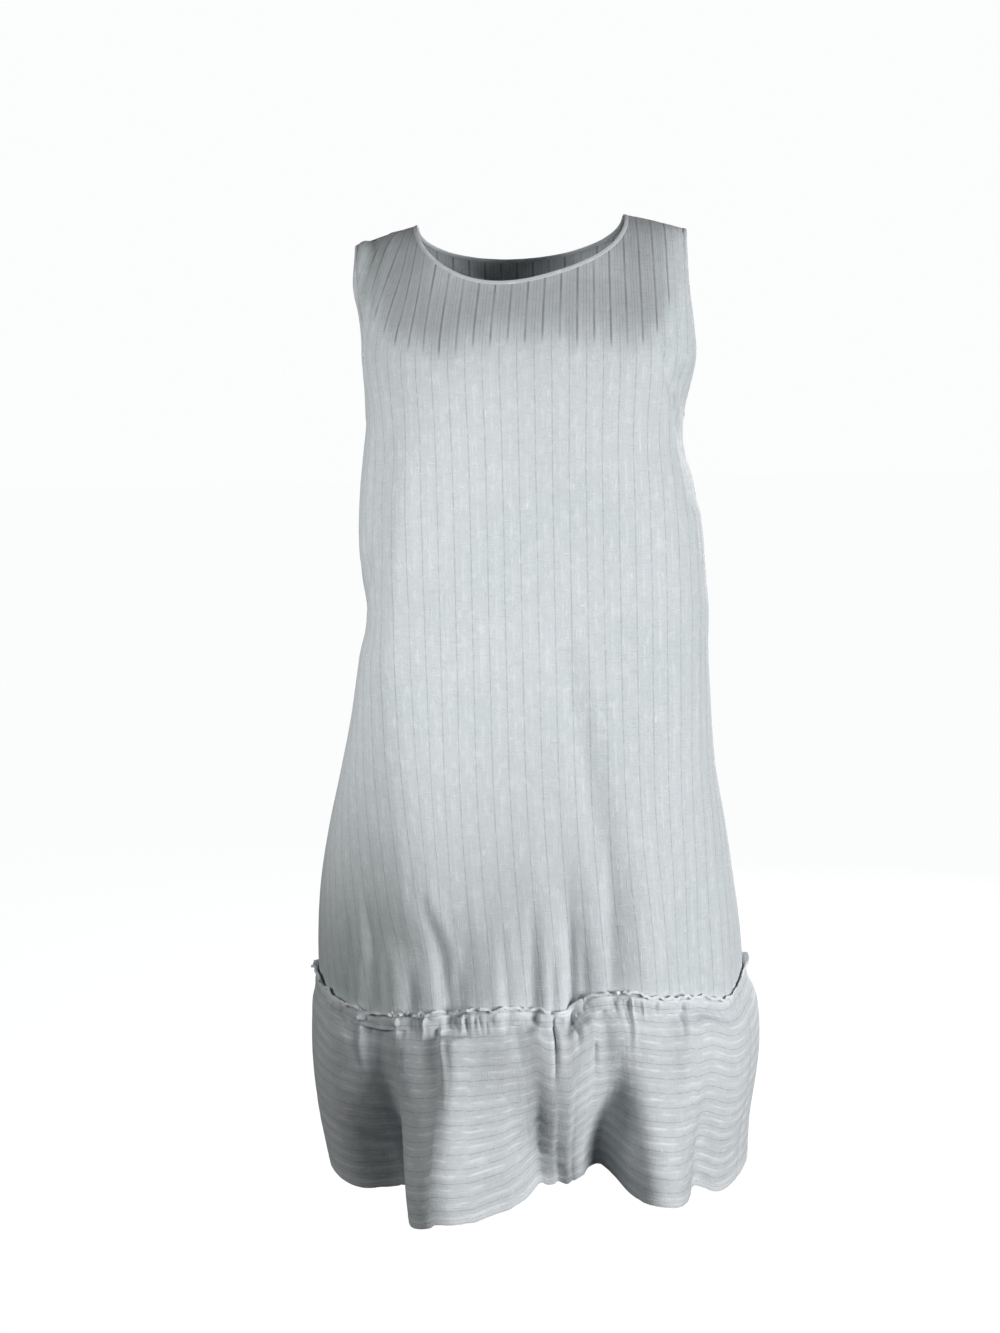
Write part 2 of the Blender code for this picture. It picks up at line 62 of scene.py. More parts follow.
# side outline seen from the front; above the armhole it is the width that the
# cloth would have if it ran on round the arm
OUTLINE = [  # z, left, right
    (0.020, -0.1630, 0.1620),
    (-0.030, -0.1660, 0.1620),
    (-0.065, -0.1670, 0.1635),
    (-0.100, -0.1635, 0.1660),
    (-0.130, -0.1585, 0.1655),
    (-0.160, -0.1525, 0.1580),
    (-0.190, -0.1505, 0.1510),
    (-0.215, -0.1535, 0.1500),
    (-0.250, -0.1575, 0.1590),
    (-0.290, -0.1600, 0.1650),
    (-0.335, -0.1590, 0.1680),
    (-0.368, -0.1550, 0.1705),
    (-0.405, -0.1600, 0.1700),
    (-0.463, -0.1700, 0.1720),
    (-0.520, -0.1835, 0.1760),
    (-0.580, -0.1980, 0.1860),
    (-0.640, -0.2080, 0.1940),
    (-0.700, -0.2115, 0.2005),
    (-0.750, -0.2095, 0.2015),
]
# centre line and section of each panel, a row for each height
FRONT = [  # z, depth, droop to the shoulder tip, tilt, squareness
    (0.0075, 0.0000, 0.030, 0.0055, 2.30),
    (0.0050, 0.0200, 0.029, 0.0055, 2.30),
    (-0.0080, 0.0450, 0.026, 0.0050, 2.30),
    (-0.0330, 0.0670, 0.022, 0.0045, 2.30),
    (-0.0650, 0.0840, 0.016, 0.0035, 2.30),
    (-0.1050, 0.1020, 0.009, 0.0025, 2.30),
    (-0.1450, 0.1150, 0.003, 0.0010, 2.40),
    (-0.1850, 0.1215, 0.000, 0.0000, 2.55),
    (-0.2250, 0.1230, 0.000, 0.0000, 2.80),
    (-0.2900, 0.1205, 0.000, 0.0000, 3.10),
    (-0.3600, 0.1190, 0.000, 0.0000, 3.20),
    (-0.4400, 0.1220, 0.000, 0.0000, 3.00),
    (-0.5200, 0.1305, 0.000, 0.0000, 2.60),
    (-0.6000, 0.1420, 0.000, 0.0000, 2.30),
    (-0.6700, 0.1520, 0.000, 0.0000, 2.20),
    (-0.7500, 0.1630, 0.000, 0.0000, 2.15),
]
BACK = [
    (0.0075, 0.0000, 0.030, 0.0055, 2.30),
    (0.0060, 0.0220, 0.029, 0.0055, 2.30),
    (-0.0050, 0.0500, 0.026, 0.0050, 2.30),
    (-0.0290, 0.0740, 0.022, 0.0045, 2.35),
    (-0.0650, 0.0910, 0.016, 0.0035, 2.40),
    (-0.1050, 0.1020, 0.009, 0.0025, 2.45),
    (-0.1450, 0.1070, 0.003, 0.0010, 2.45),
    (-0.1850, 0.1080, 0.000, 0.0000, 2.40),
    (-0.2250, 0.1070, 0.000, 0.0000, 2.40),
    (-0.2900, 0.1040, 0.000, 0.0000, 2.35),
    (-0.3600, 0.1040, 0.000, 0.0000, 2.30),
    (-0.4400, 0.1100, 0.000, 0.0000, 2.25),
    (-0.5200, 0.1220, 0.000, 0.0000, 2.20),
    (-0.6000, 0.1340, 0.000, 0.0000, 2.15),
    (-0.6700, 0.1430, 0.000, 0.0000, 2.15),
    (-0.7500, 0.1530, 0.000, 0.0000, 2.15),
]
ASPECT = 0.75  # depth to half-width of the section that spaces the columns

NECK_HALF, NECK_MID = 0.1005, -0.0005  # half-width and centre of the neck opening
NECK_DROP = {-1: 0.0610, 1: 0.0340}  # front and back neckline below the neck ends
NECK_SKEW = {-1: 0.0035, 1: 0.0}  # the front's lowest point lies left of centre
TIP_X = (-0.1535, 0.1520)  # shoulder tips, left and right
PIT_Z = -0.190  # lowest point of both armholes
SCOOP = {-1: 0.045, 1: 0.030}  # how far each armhole edge cuts in below the shoulder
CHEST_TIP, CHEST_NECK = 0.70, 0.58  # a below the shoulder tips and the neck ends
EDGE_WIDE, EDGE_THICK = 0.0038, 0.0019  # the bound edges of neck and armholes

JOIN = [  # x, z: the stitched join of body and flounce along the front
    (-0.212, -0.7190),
    (-0.188, -0.7320),
    (-0.166, -0.7360),
    (-0.122, -0.7335),
    (-0.084, -0.7290),
    (-0.040, -0.7245),
    (0.010, -0.7270),
    (0.028, -0.7280),
    (0.046, -0.7165),
    (0.076, -0.7140),
    (0.110, -0.7215),
    (0.150, -0.7295),
    (0.185, -0.7370),
    (0.203, -0.7220),
]
LAP = 0.008  # the body's raw edge runs on behind the flounce
HEAD = 0.0065  # the flounce's raw edge stands above the stitches
DROP = 0.194  # cloth from the stitches to the hem

FLOUNCE = [  # cloth below the stitches, left, right, front, back
    (0.000, -0.2138, 0.2055, 0.1620, 0.1520),
    (0.012, -0.2145, 0.2085, 0.1660, 0.1560),
    (0.035, -0.2185, 0.2145, 0.1720, 0.1625),
    (0.075, -0.2205, 0.2165, 0.1750, 0.1670),
    (0.115, -0.2180, 0.2125, 0.1710, 0.1660),
    (0.150, -0.2140, 0.2075, 0.1630, 0.1610),
    (0.194, -0.2065, 0.2045, 0.1520, 0.1520),
]
FLOUNCE_SQUARE = 2.15
# folds of the flounce: x where it meets the hem, half-width, depth at the hem
# (outwards +), cloth below the stitches where it starts, lean of its foot
FOLDS = {
    -1: [
        (-0.158, 0.032, -0.040, 0.030, 0.000),
        (-0.133, 0.014, -0.024, 0.015, -0.006),
        (-0.086, 0.033, 0.054, 0.045, 0.004),
        (0.002, 0.024, -0.032, 0.030, -0.022),
        (0.028, 0.016, -0.020, 0.060, 0.000),
        (0.060, 0.0185, -0.050, 0.030, 0.004),
        (0.099, 0.030, 0.036, 0.060, 0.000),
        (0.152, 0.015, -0.014, 0.020, 0.002),
        (0.180, 0.016, -0.010, 0.040, 0.000),
    ],
    1: [
        (-0.172, 0.018, 0.010, 0.030, 0.000),
        (-0.132, 0.019, -0.036, 0.020, 0.006),
        (-0.086, 0.026, 0.024, 0.050, 0.000),
        (-0.036, 0.018, -0.058, 0.030, -0.006),
        (0.016, 0.030, 0.030, 0.045, 0.000),
        (0.070, 0.017, -0.042, 0.025, 0.008),
        (0.112, 0.022, 0.018, 0.060, 0.000),
        (0.156, 0.016, -0.022, 0.020, 0.004),
    ],
}
GATHERS, GATHER_DEEP = 21, 0.0022  # pleats along half the join, and their depth
SEAM_RIGHT, SEAM_LEFT = 0.82, -1.12  # side seams of the flounce, in turns of tau

# large soft troughs and ridges of the body: x at the top and at the foot, z at the
# top and at the foot, half-width, depth (outwards +), fade at the top and the foot
CREASES = {
    -1: [
        (-0.128, -0.150, -0.180, -0.385, 0.013, -0.0040, 0.05, 0.03),  # under the left arm
        (-0.108, -0.134, -0.200, -0.400, 0.016, 0.0030, 0.06, 0.06),
        (0.140, 0.158, -0.130, -0.262, 0.010, -0.0060, 0.03, 0.02),  # under the right arm
        (-0.130, -0.106, -0.300, -0.625, 0.042, 0.0120, 0.22, 0.055),  # left front corner
        (-0.082, -0.070, -0.600, -0.760, 0.016, -0.0030, 0.10, 0.010),
        (-0.014, -0.010, -0.640, -0.760, 0.014, -0.0050, 0.08, 0.010),
        (0.024, 0.034, -0.520, -0.760, 0.020, -0.0080, 0.16, 0.010),
        (0.140, 0.150, -0.600, -0.760, 0.018, -0.0050, 0.10, 0.010),
        (0.085, 0.090, -0.560, -0.760, 0.026, 0.0050, 0.14, 0.010),
        (-0.045, -0.042, -0.620, -0.760, 0.018, 0.0040, 0.10, 0.010),
    ],
    1: [
        (-0.100, -0.118, -0.420, -0.760, 0.024, -0.0070, 0.14, 0.010),
        (-0.040, -0.050, -0.520, -0.760, 0.022, 0.0060, 0.14, 0.010),
        (0.012, 0.006, -0.380, -0.760, 0.026, -0.0080, 0.18, 0.010),
        (0.070, 0.078, -0.500, -0.760, 0.022, 0.0050, 0.14, 0.010),
        (0.112, 0.132, -0.440, -0.760, 0.022, -0.0070, 0.14, 0.010),
        (0.000, 0.000, -0.250, -0.420, 0.045, -0.0060, 0.08, 0.08),
    ],
}


# ---------------------------------------------------------------- fine creases

# body, as CREASES, for what is too fine for the solids
FINE = {
    -1: [
        (0.017, 0.070, -0.330, -0.620, 0.014, -0.0052, 0.10, 0.12),  # long slanting fold
        (0.040, 0.096, -0.360, -0.640, 0.020, 0.0040, 0.12, 0.12),
        (-0.129, -0.150, -0.205, -0.345, 0.0045, 0.0020, 0.05, 0.05),  # edge of the left side fold
        (-0.147, -0.158, -0.300, -0.352, 0.0070, -0.0045, 0.03, 0.02),
        (0.119, 0.150, -0.108, -0.215, 0.0035, -0.0026, 0.02, 0.03),  # line beside the right arm
        (0.127, 0.157, -0.112, -0.225, 0.0045, 0.0018, 0.02, 0.03),
        (-0.107, -0.088, -0.608, -0.680, 0.0050, -0.0020, 0.03, 0.03),
        (-0.098, -0.076, -0.600, -0.672, 0.0045, 0.0018, 0.03, 0.03),
        (-0.121, -0.115, -0.672, -0.760, 0.0055, -0.0033, 0.06, 0.01),
        (-0.094, -0.081, -0.640, -0.760, 0.0060, -0.0042, 0.07, 0.01),
        (-0.066, -0.062, -0.665, -0.760, 0.0075, 0.0024, 0.06, 0.01),
        (-0.031, -0.028, -0.640, -0.760, 0.0055, -0.0033, 0.07, 0.01),
        (-0.004, -0.005, -0.600, -0.760, 0.0075, -0.0050, 0.09, 0.01),
        (0.014, 0.013, -0.655, -0.760, 0.0035, -0.0031, 0.05, 0.01),
        (0.030, 0.032, -0.600, -0.760, 0.0055, -0.0053, 0.10, 0.01),
        (0.043, 0.044, -0.640, -0.760, 0.0045, -0.0029, 0.06, 0.01),
        (0.069, 0.067, -0.560, -0.760, 0.0070, -0.0033, 0.12, 0.01),
        (0.129, 0.127, -0.640, -0.760, 0.0055, -0.0031, 0.07, 0.01),
        (0.098, 0.102, -0.600, -0.760, 0.0160, 0.0021, 0.10, 0.01),
        (0.158, 0.162, -0.560, -0.760, 0.0080, -0.0027, 0.10, 0.01),
        (-0.150, -0.156, -0.560, -0.760, 0.0070, -0.0029, 0.10, 0.01),
        (-0.172, -0.180, -0.600, -0.760, 0.0060, -0.0027, 0.10, 0.01),
        (-0.132, -0.150, -0.004, -0.085, 0.0060, -0.0030, 0.02, 0.05),  # at the left shoulder
        (-0.146, -0.158, -0.006, -0.080, 0.0050, 0.0026, 0.02, 0.05),
        (-0.118, -0.136, -0.002, -0.070, 0.0050, 0.0016, 0.02, 0.05),
        (-0.052, -0.036, -0.098, -0.101, 0.0200, 0.0006, 0.01, 0.01),
    ],
    1: [
        (-0.118, -0.150, -0.180, -0.330, 0.012, -0.0060, 0.06, 0.06),
        (0.122, 0.150, -0.170, -0.320, 0.012, -0.0055, 0.06, 0.06),
        (-0.080, -0.040, -0.300, -0.520, 0.018, -0.0030, 0.10, 0.12),
        (0.040, 0.090, -0.260, -0.480, 0.020, 0.0026, 0.10, 0.12),
        (-0.150, -0.152, -0.600, -0.760, 0.0070, -0.0034, 0.10, 0.01),
        (-0.118, -0.120, -0.660, -0.760, 0.0055, -0.0033, 0.07, 0.01),
        (-0.078, -0.074, -0.620, -0.760, 0.0065, -0.0042, 0.09, 0.01),
        (-0.052, -0.050, -0.670, -0.760, 0.0045, -0.0027, 0.05, 0.01),
        (-0.020, -0.022, -0.600, -0.760, 0.0075, -0.0046, 0.10, 0.01),
        (0.012, 0.010, -0.650, -0.760, 0.0050, -0.0033, 0.07, 0.01),
        (0.044, 0.046, -0.610, -0.760, 0.0070, -0.0044, 0.09, 0.01),
        (0.092, 0.090, -0.640, -0.760, 0.0060, -0.0034, 0.08, 0.01),
        (0.134, 0.132, -0.600, -0.760, 0.0070, -0.0033, 0.09, 0.01),
    ],
}

# flounce: x at the stitches and at the end, cloth below the stitches at both,
# half-width, depth (outwards +)
PINCHES = {
    -1: [
        (-0.178, -0.172, 0.000, 0.030, 0.0034, -0.0034),
        (-0.162, -0.158, 0.000, 0.076, 0.0026, 0.0046),
        (-0.1565, -0.1545, 0.000, 0.074, 0.0024, -0.0034),
        (-0.146, -0.142, 0.000, 0.034, 0.0030, -0.0030),
        (-0.122, -0.120, 0.000, 0.026, 0.0030, -0.0030),
        (-0.092, -0.082, 0.000, 0.046, 0.0030, -0.0036),
        (-0.086, -0.076, 0.010, 0.090, 0.0030, 0.0050),
        (-0.0730, -0.0690, 0.020, 0.340, 0.0160, 0.0100),  # roof of the left lobe
        (-0.1480, -0.1440, 0.006, 0.300, 0.0220, -0.0110),
        (-0.079, -0.076, 0.000, 0.020, 0.0018, -0.0034),
        (-0.062, -0.061, 0.000, 0.028, 0.0024, -0.0036),
        (-0.052, -0.050, 0.000, 0.024, 0.0022, 0.0022),
        (-0.040, -0.038, 0.000, 0.022, 0.0024, -0.0026),
        (-0.029, -0.024, 0.000, 0.024, 0.0024, -0.0034),
        (-0.021, -0.014, 0.000, 0.070, 0.0060, -0.0036),
        (-0.010, -0.004, 0.000, 0.120, 0.0100, -0.0030),
        (0.0020, 0.0035, 0.000, 0.034, 0.0028, 0.0024),
        (0.0150, 0.0125, 0.000, 0.084, 0.0017, -0.0062),
        (0.0195, 0.0175, 0.000, 0.070, 0.0030, 0.0026),
        (0.0330, 0.0345, 0.000, 0.050, 0.0020, -0.0060),
        (0.0375, 0.0400, 0.000, 0.046, 0.0028, 0.0024),
        (0.0480, 0.0470, 0.044, 0.082, 0.0018, -0.0030),
        (0.0600, 0.0560, 0.000, 0.090, 0.0070, -0.0050),
        (0.0705, 0.0720, 0.000, 0.026, 0.0022, -0.0026),
        (0.0800, 0.0770, 0.000, 0.036, 0.0026, -0.0036),
        (0.0855, 0.0800, 0.000, 0.060, 0.0018, 0.0040),
        (0.0980, 0.0960, 0.000, 0.022, 0.0022, -0.0030),
        (0.1080, 0.1060, 0.000, 0.020, 0.0022, 0.0022),
        (0.1220, 0.1160, 0.006, 0.120, 0.0120, -0.0034),
        (0.1340, 0.1240, 0.000, 0.050, 0.0020, -0.0034),
        (0.1400, 0.1290, 0.000, 0.046, 0.0026, 0.0026),
        (0.1530, 0.1500, 0.000, 0.024, 0.0028, -0.0030),
        (0.1650, 0.1600, 0.000, 0.030, 0.0030, 0.0024),
        (0.1780, 0.1740, 0.000, 0.040, 0.0040, -0.0030),
    ],
    1: [
        (-0.160, -0.156, 0.000, 0.060, 0.0030, -0.0040),
        (-0.128, -0.124, 0.000, 0.050, 0.0026, 0.0036),
        (-0.094, -0.096, 0.000, 0.080, 0.0030, -0.0044),
        (-0.050, -0.046, 0.000, 0.056, 0.0024, -0.0050),
        (-0.012, -0.016, 0.000, 0.070, 0.0030, 0.0036),
        (0.030, 0.034, 0.000, 0.050, 0.0024, -0.0050),
        (0.064, 0.060, 0.000, 0.070, 0.0030, -0.0040),
        (0.100, 0.104, 0.000, 0.060, 0.0028, 0.0036),
        (0.140, 0.136, 0.000, 0.056, 0.0026, -0.0044),
    ],
}
# soft buckles of the flounce: x, cloth below the stitches, half-length along the hem,
# half-width, slope, depth
BUCKLES = {
    -1: [
        (-0.010, 0.120, 0.018, 0.0040, -0.55, -0.0022),
        (0.006, 0.138, 0.022, 0.0044, -0.60, 0.0020),
        (0.014, 0.152, 0.022, 0.0040, -0.50, -0.0024),
        (0.022, 0.166, 0.022, 0.0050, -0.40, 0.0020),
        (-0.052, 0.150, 0.030, 0.0050, 0.10, 0.0014),
        (-0.060, 0.110, 0.026, 0.0050, -0.20, -0.0012),
        (0.100, 0.140, 0.030, 0.0050, 0.10, 0.0014),
        (0.120, 0.110, 0.030, 0.0060, -0.15, -0.0014),
        (0.130, 0.170, 0.030, 0.0050, 0.20, 0.0014),
        (-0.150, 0.100, 0.024, 0.0070, 0.60, 0.0014),
        (-0.170, 0.140, 0.024, 0.0070, 0.50, -0.0016),
    ],
    1: [
        (-0.120, 0.110, 0.030, 0.0050, 0.30, 0.0014),
        (-0.020, 0.140, 0.034, 0.0060, -0.30, -0.0014),
        (0.060, 0.120, 0.030, 0.0050, 0.20, 0.0014),
        (0.130, 0.150, 0.034, 0.0060, -0.20, 0.0014),
    ],
}
# front flounce, deep folds laid over to one side: x, half-width, shift along the hem
# (to the left +), where it starts
LAID_OVER = [
    (0.068, 0.015, -0.005, 0.020),
    (-0.140, 0.030, 0.006, 0.020),
]
HEM_TURN = 0.0062  # the narrow turned hem


# ---------------------------------------------------------------- shape functions


def smooth(xs, ys, x):
    """A smooth curve through (xs, ys), held level past both ends."""
    xs, ys = np.asarray(xs, float), np.asarray(ys, float)
    if xs[0] > xs[-1]:
        xs, ys = xs[::-1], ys[::-1]
    x = np.clip(np.asarray(x, float), xs[0], xs[-1])
    m = np.gradient(ys, xs)
    i = np.clip(np.searchsorted(xs, x, side="right") - 1, 0, len(xs) - 2)
    h = xs[i + 1] - xs[i]
    u = (x - xs[i]) / h
    return (
        (2 * u**3 - 3 * u**2 + 1) * ys[i]
        + (u**3 - 2 * u**2 + u) * h * m[i]
        + (3 * u**2 - 2 * u**3) * ys[i + 1]
        + (u**3 - u**2) * h * m[i + 1]
    )


def column(rows, k):
    return np.array([r[k] for r in rows])


def ease(x):
    x = np.clip(x, 0, 1)
    return x * x * (3 - 2 * x)


def unit(tau, square):
    """Point of the unit section at tau: 0 front, 1 right, 2 back, -1 left."""
    t = 0.5 * np.pi * (1 - np.asarray(tau, float))
    c, s = np.cos(t), np.sin(t)
    r = (np.abs(c) ** square + (np.abs(s) / ASPECT) ** square) ** (-1 / square)
    return r * c, r * s / ASPECT


def span_of(x_share, square):
    """The a in -1..1 whose unit section point lies at x_share."""
    a = np.linspace(-1, 1, 801)
    return np.interp(x_share, unit(a, square)[0], a)


def run_of(rows):
    """Metres of cloth down the centre line to each row."""
    z, d = column(rows, 0), column(rows, 1)
    return np.concatenate([[0], np.cumsum(np.hypot(np.diff(z), np.diff(d)))])


ROWS = {-1: FRONT, 1: BACK}
RUN = {k: run_of(r) for k, r in ROWS.items()}


def outline(z):
    zs = column(OUTLINE, 0)
    left, right = smooth(zs, column(OUTLINE, 1), z), smooth(zs, column(OUTLINE, 2), z)
    return (left + right) / 2, (right - left) / 2


def plain_body(side, a, v):
    rows, run = ROWS[side], RUN[side]
    z0, d, droop, tilt, square = (smooth(run, column(rows, k), v) for k in range(5))
    X, Y = unit(a, square)
    z = z0 - droop * X * X + tilt * X
    mid, half = outline(z)
    return np.stack([mid + half * X, side * (GAP / 2 + d * Y), z], -1)


def creases(side, x, z):
    out = 0
    for x0, x1, z0, z1, half, deep, fade0, fade1 in CREASES[side] + FINE[side]:
        along = (z0 - z) / (z0 - z1)
        here = x0 + (x1 - x0) * np.clip(along, 0, 1)
        fade = ease((z0 - z) / fade0) * ease((z - z1 + fade1) / fade1)
        out = out + deep * fade * np.exp(-(((x - here) / half) ** 2))
    return out


def normal_of(point, p, q, h=2e-4):
    """Unit normal of a surface point(p, q), and the point itself."""
    dp = point(p + h, q) - point(p - h, q)
    dq = point(p, q + h) - point(p, q - h)
    n = np.cross(dp, dq)
    return n / np.linalg.norm(n, axis=-1, keepdims=True)


def noise(seed, x, y=0.0):
    """Smooth noise from -1 to 1, one value for each unit cell."""
    x, y = np.broadcast_arrays(np.asarray(x, float), np.asarray(y, float))
    table = np.random.default_rng(seed).uniform(-1, 1, (64, 64))
    i, j = np.floor(x).astype(int), np.floor(y).astype(int)
    u, w = ease(x - i), ease(y - j)
    low = table[i % 64, j % 64] * (1 - u) + table[(i + 1) % 64, j % 64] * u
    high = table[i % 64, (j + 1) % 64] * (1 - u) + table[(i + 1) % 64, (j + 1) % 64] * u
    return low * (1 - w) + high * w


def more_pinches(side, count, seed):
    """Small gathers between the named ones, uneven in place, length and depth."""
    r = np.random.default_rng(seed)
    at = (np.arange(count) + r.uniform(-0.4, 0.4, count) + 0.5) / count
    for x in -0.195 + 0.385 * at:
        long, deep = r.uniform(0.007, 0.030), r.uniform(0.0016, 0.0042)
        sign = -1 if r.uniform() < 0.62 else 1
        yield (x, x + r.uniform(-0.004, 0.004), 0.0, long, r.uniform(0.0012, 0.0024), sign * deep)


PINCHES[-1] += list(more_pinches(-1, 78, 5))
PINCHES[1] += list(more_pinches(1, 84, 6))


def table_of_place(side):
    """Metres of cloth from the centre line along each section."""
    a, v = np.linspace(-1, 1, 321), np.linspace(0, 0.82, 206)
    p = plain_body(side, a[None, :], v[:, None])
    run = np.cumsum(np.linalg.norm(np.diff(p, axis=1), axis=-1), axis=1)
    run = np.concatenate([0 * run[:, :1], run], axis=1)
    return run - run[:, 160:161]


PLACE = {side: table_of_place(side) for side in (-1, 1)}


def place(side, a, v):
    """Metres of cloth across from the centre line at (a, v)."""
    i = (np.clip(a, -1, 1) + 1) * 160
    j = np.clip(v, 0, 0.8199) / 0.004
    i0, j0 = np.minimum(i.astype(int), 319), np.minimum(j.astype(int), 204)
    u, w = i - i0, j - j0
    t = PLACE[side]
    low = t[j0, i0] * (1 - u) + t[j0, i0 + 1] * u
    high = t[j0 + 1, i0] * (1 - u) + t[j0 + 1, i0 + 1] * u
    return low * (1 - w) + high * w


def ripple(side, a, v):
    """The cloth's small unevenness: soft ripples down its length, more near the
    gathers, and a light crumple."""
    u = place(side, a, v)
    low = ease((v - 0.56) / 0.18)
    calm = 0.35 + 0.65 * ease((v - 0.16) / 0.20)
    out = (0.0005 + 0.0008 * low) * calm * noise(11 + side, u / 0.032, v / 0.26)
    out = out + (0.00008 + 0.00050 * low) * calm * noise(21 + side, u / 0.0095, v / 0.065)
    out = out + 0.00042 * low * noise(26 + side, u / 0.0062, v / 0.040)
    out = out + (0.00020 + 0.00012 * low) * noise(31 + side, u / 0.013, v / 0.016)
    return out + 0.00010 * noise(41 + side, u / 0.006, v / 0.008)


def body(side, a, v):
    """Middle of the body's cloth, and its outward normal, as points and vectors."""
    a, v = np.broadcast_arrays(np.asarray(a, float), np.asarray(v, float))

    def plain(a, v):
        return plain_body(side, np.clip(a, -1, 1), np.maximum(v, 0))

    def creased(a, v):
        a, v = np.clip(a, -1, 1), np.maximum(v, 0)
        p = plain(a, v)
        n = side * normal_of(plain, a, v)
        n[..., 1] = np.where(np.abs(a) > 1 - 1e-6, 0, n[..., 1])
        edge = 1 - np.abs(a) ** 10
        return p + n * ((creases(side, p[..., 0], p[..., 2]) + ripple(side, a, v)) * edge)[..., None]

    n = side * normal_of(creased, a, v)
    seam = (np.abs(a) > 1 - 1e-6) | (v < 1e-6)
    n[..., 1] = np.where(seam, 0, n[..., 1])
    n /= np.linalg.norm(n, axis=-1, keepdims=True)
    return creased(a, v), n


def join_z(tau):
    """Height of the stitches all round."""
    front = (np.asarray(tau) > -1) & (np.asarray(tau) < 1)
    X = unit(tau, FLOUNCE_SQUARE)[0]
    line = smooth(column(JOIN, 0), column(JOIN, 1), -0.0045 + 0.2085 * X)
    ends = np.where(X > 0, JOIN[-1][1], JOIN[0][1])
    plain = ends - 0.003 * np.sin(2.4 * np.pi * X) * (1 - X * X)
    return np.where(front, line, plain)


def run_at(side, z):
    """Metres down the centre line where a body section has the height z."""
    v = np.linspace(0, RUN[side][-1], 1500)
    zz = smooth(RUN[side], column(ROWS[side], 0), v)
    return np.interp(-np.asarray(z), -zz, v)


# ---------------------------------------------------------------- edges of the panels


def ridge_a(x):
    """a on the shoulder ridge at x."""
    a = np.linspace(-1, 1, 801)
    return np.interp(x, plain_body(-1, a, 0 * a)[:, 0], a)


def evenly(side, edge, count):
    """count + 1 points of a dense (a, v) line, equally far apart on the cloth."""
    p = plain_body(side, edge[:, 0], edge[:, 1])
    run = np.concatenate([[0], np.cumsum(np.linalg.norm(np.diff(p, axis=0), axis=1))])
    at = np.linspace(0, run[-1], count + 1)
    return np.stack([np.interp(at, run, edge[:, 0]), np.interp(at, run, edge[:, 1])], -1)


def neck_edge(side, count, dense=240):
    """(a, v) along a panel's neckline, left to right."""
    ends = plain_body(side, ridge_a([NECK_MID - NECK_HALF, NECK_MID + NECK_HALF]), [0, 0])
    turn = np.linspace(0, np.pi, dense + 1)
    X = -np.cos(turn)
    x = NECK_MID + NECK_HALF * X
    z = (ends[0, 2] + ends[1, 2]) / 2 + (ends[1, 2] - ends[0, 2]) / 2 * X
    z = z - NECK_DROP[side] * np.sin(turn) + NECK_SKEW[side] * np.sin(np.pi * X)
    low, high = np.zeros(dense + 1), np.full(dense + 1, 0.2)
    for _ in range(40):
        v = (low + high) / 2
        a = across(side, x, v)
        over = plain_body(side, a, v)[:, 2] > z
        low, high = np.where(over, v, low), np.where(over, high, v)
    v = (low + high) / 2
    v[[0, -1]] = 0
    return evenly(side, np.stack([across(side, x, v), v], -1), count)


def across(side, x, v):
    """a where the section v of a panel passes x."""
    low, high = np.full(len(x), -1.0), np.full(len(x), 1.0)
    for _ in range(40):
        a = (low + high) / 2
        less = plain_body(side, a, v)[:, 0] < x
        low, high = np.where(less, a, low), np.where(less, high, a)
    return (low + high) / 2


def arm_edge(side, hand, count, dense=160):
    """(a, v) along an armhole from the lowest point up to the shoulder tip.
    hand: -1 left, 1 right."""
    pit = run_at(side, PIT_Z)
    tip = abs(float(ridge_a(TIP_X[(hand + 1) // 2])))
    turn = np.linspace(np.pi / 2, 0, dense + 1)
    a = 1 - (1 - tip) * np.cos(turn) - SCOOP[side] * np.abs(np.sin(2 * turn)) ** 1.5
    v = pit * np.sin(turn)
    a[0], v[-1] = 1, 0
    return evenly(side, np.stack([hand * a, v], -1), count)


def panel(side, arm, shoulder, neck, down):
    """The (a, v) grid of a body panel: columns from left to right, rows downwards.
    The top edge runs up the left armhole, along the shoulder, round the neckline
    and down again; the foot lies LAP below the stitches."""
    left, right = arm_edge(side, -1, arm), arm_edge(side, 1, arm)
    mid = neck_edge(side, neck)
    step = np.linspace(0, 1, shoulder + 1)[1:-1, None]
    top = np.concatenate(
        [left, left[-1] + (mid[0] - left[-1]) * step, mid, mid[-1] + (right[-1] - mid[-1]) * step, right[::-1]]
    )
    share = [-1, -CHEST_TIP, -CHEST_NECK, CHEST_NECK, CHEST_TIP, 1]
    turns = np.cumsum([0, arm, shoulder, neck, shoulder, arm])
    foot_a = np.interp(np.arange(len(top)), turns, share)
    beside = np.abs(foot_a) > CHEST_TIP
    crowd = ((1 - np.abs(foot_a[beside])) / (1 - CHEST_TIP)) ** 0.6
    foot_a[beside] = np.sign(foot_a[beside]) * (1 - (1 - CHEST_TIP) * crowd)
    tau = foot_a if side < 0 else 2 - foot_a
    tau = np.where(tau > 2, tau - 4, tau)
    foot_v = run_at(side, join_z(tau) - LAP)
    haste = np.interp(np.arange(len(top)), turns, [1, 5, 6, 6, 5, 1])
    high = foot_v[:, None] - LAP - HEAD - 0.003  # rows are close where the flounce lies on
    s = np.linspace(0, 1, down - 1)[None, :] ** 1.2
    v = top[:, 1:] + (high - top[:, 1:]) * s
    v = np.concatenate([v, foot_v[:, None] - LAP, foot_v[:, None]], axis=1)
    slide = 1 - (1 - (v - top[:, 1:]) / (foot_v[:, None] - top[:, 1:])) ** haste[:, None]
    a = top[:, :1] + (foot_a[:, None] - top[:, :1]) * slide
    return a, v


# ---------------------------------------------------------------- flounce


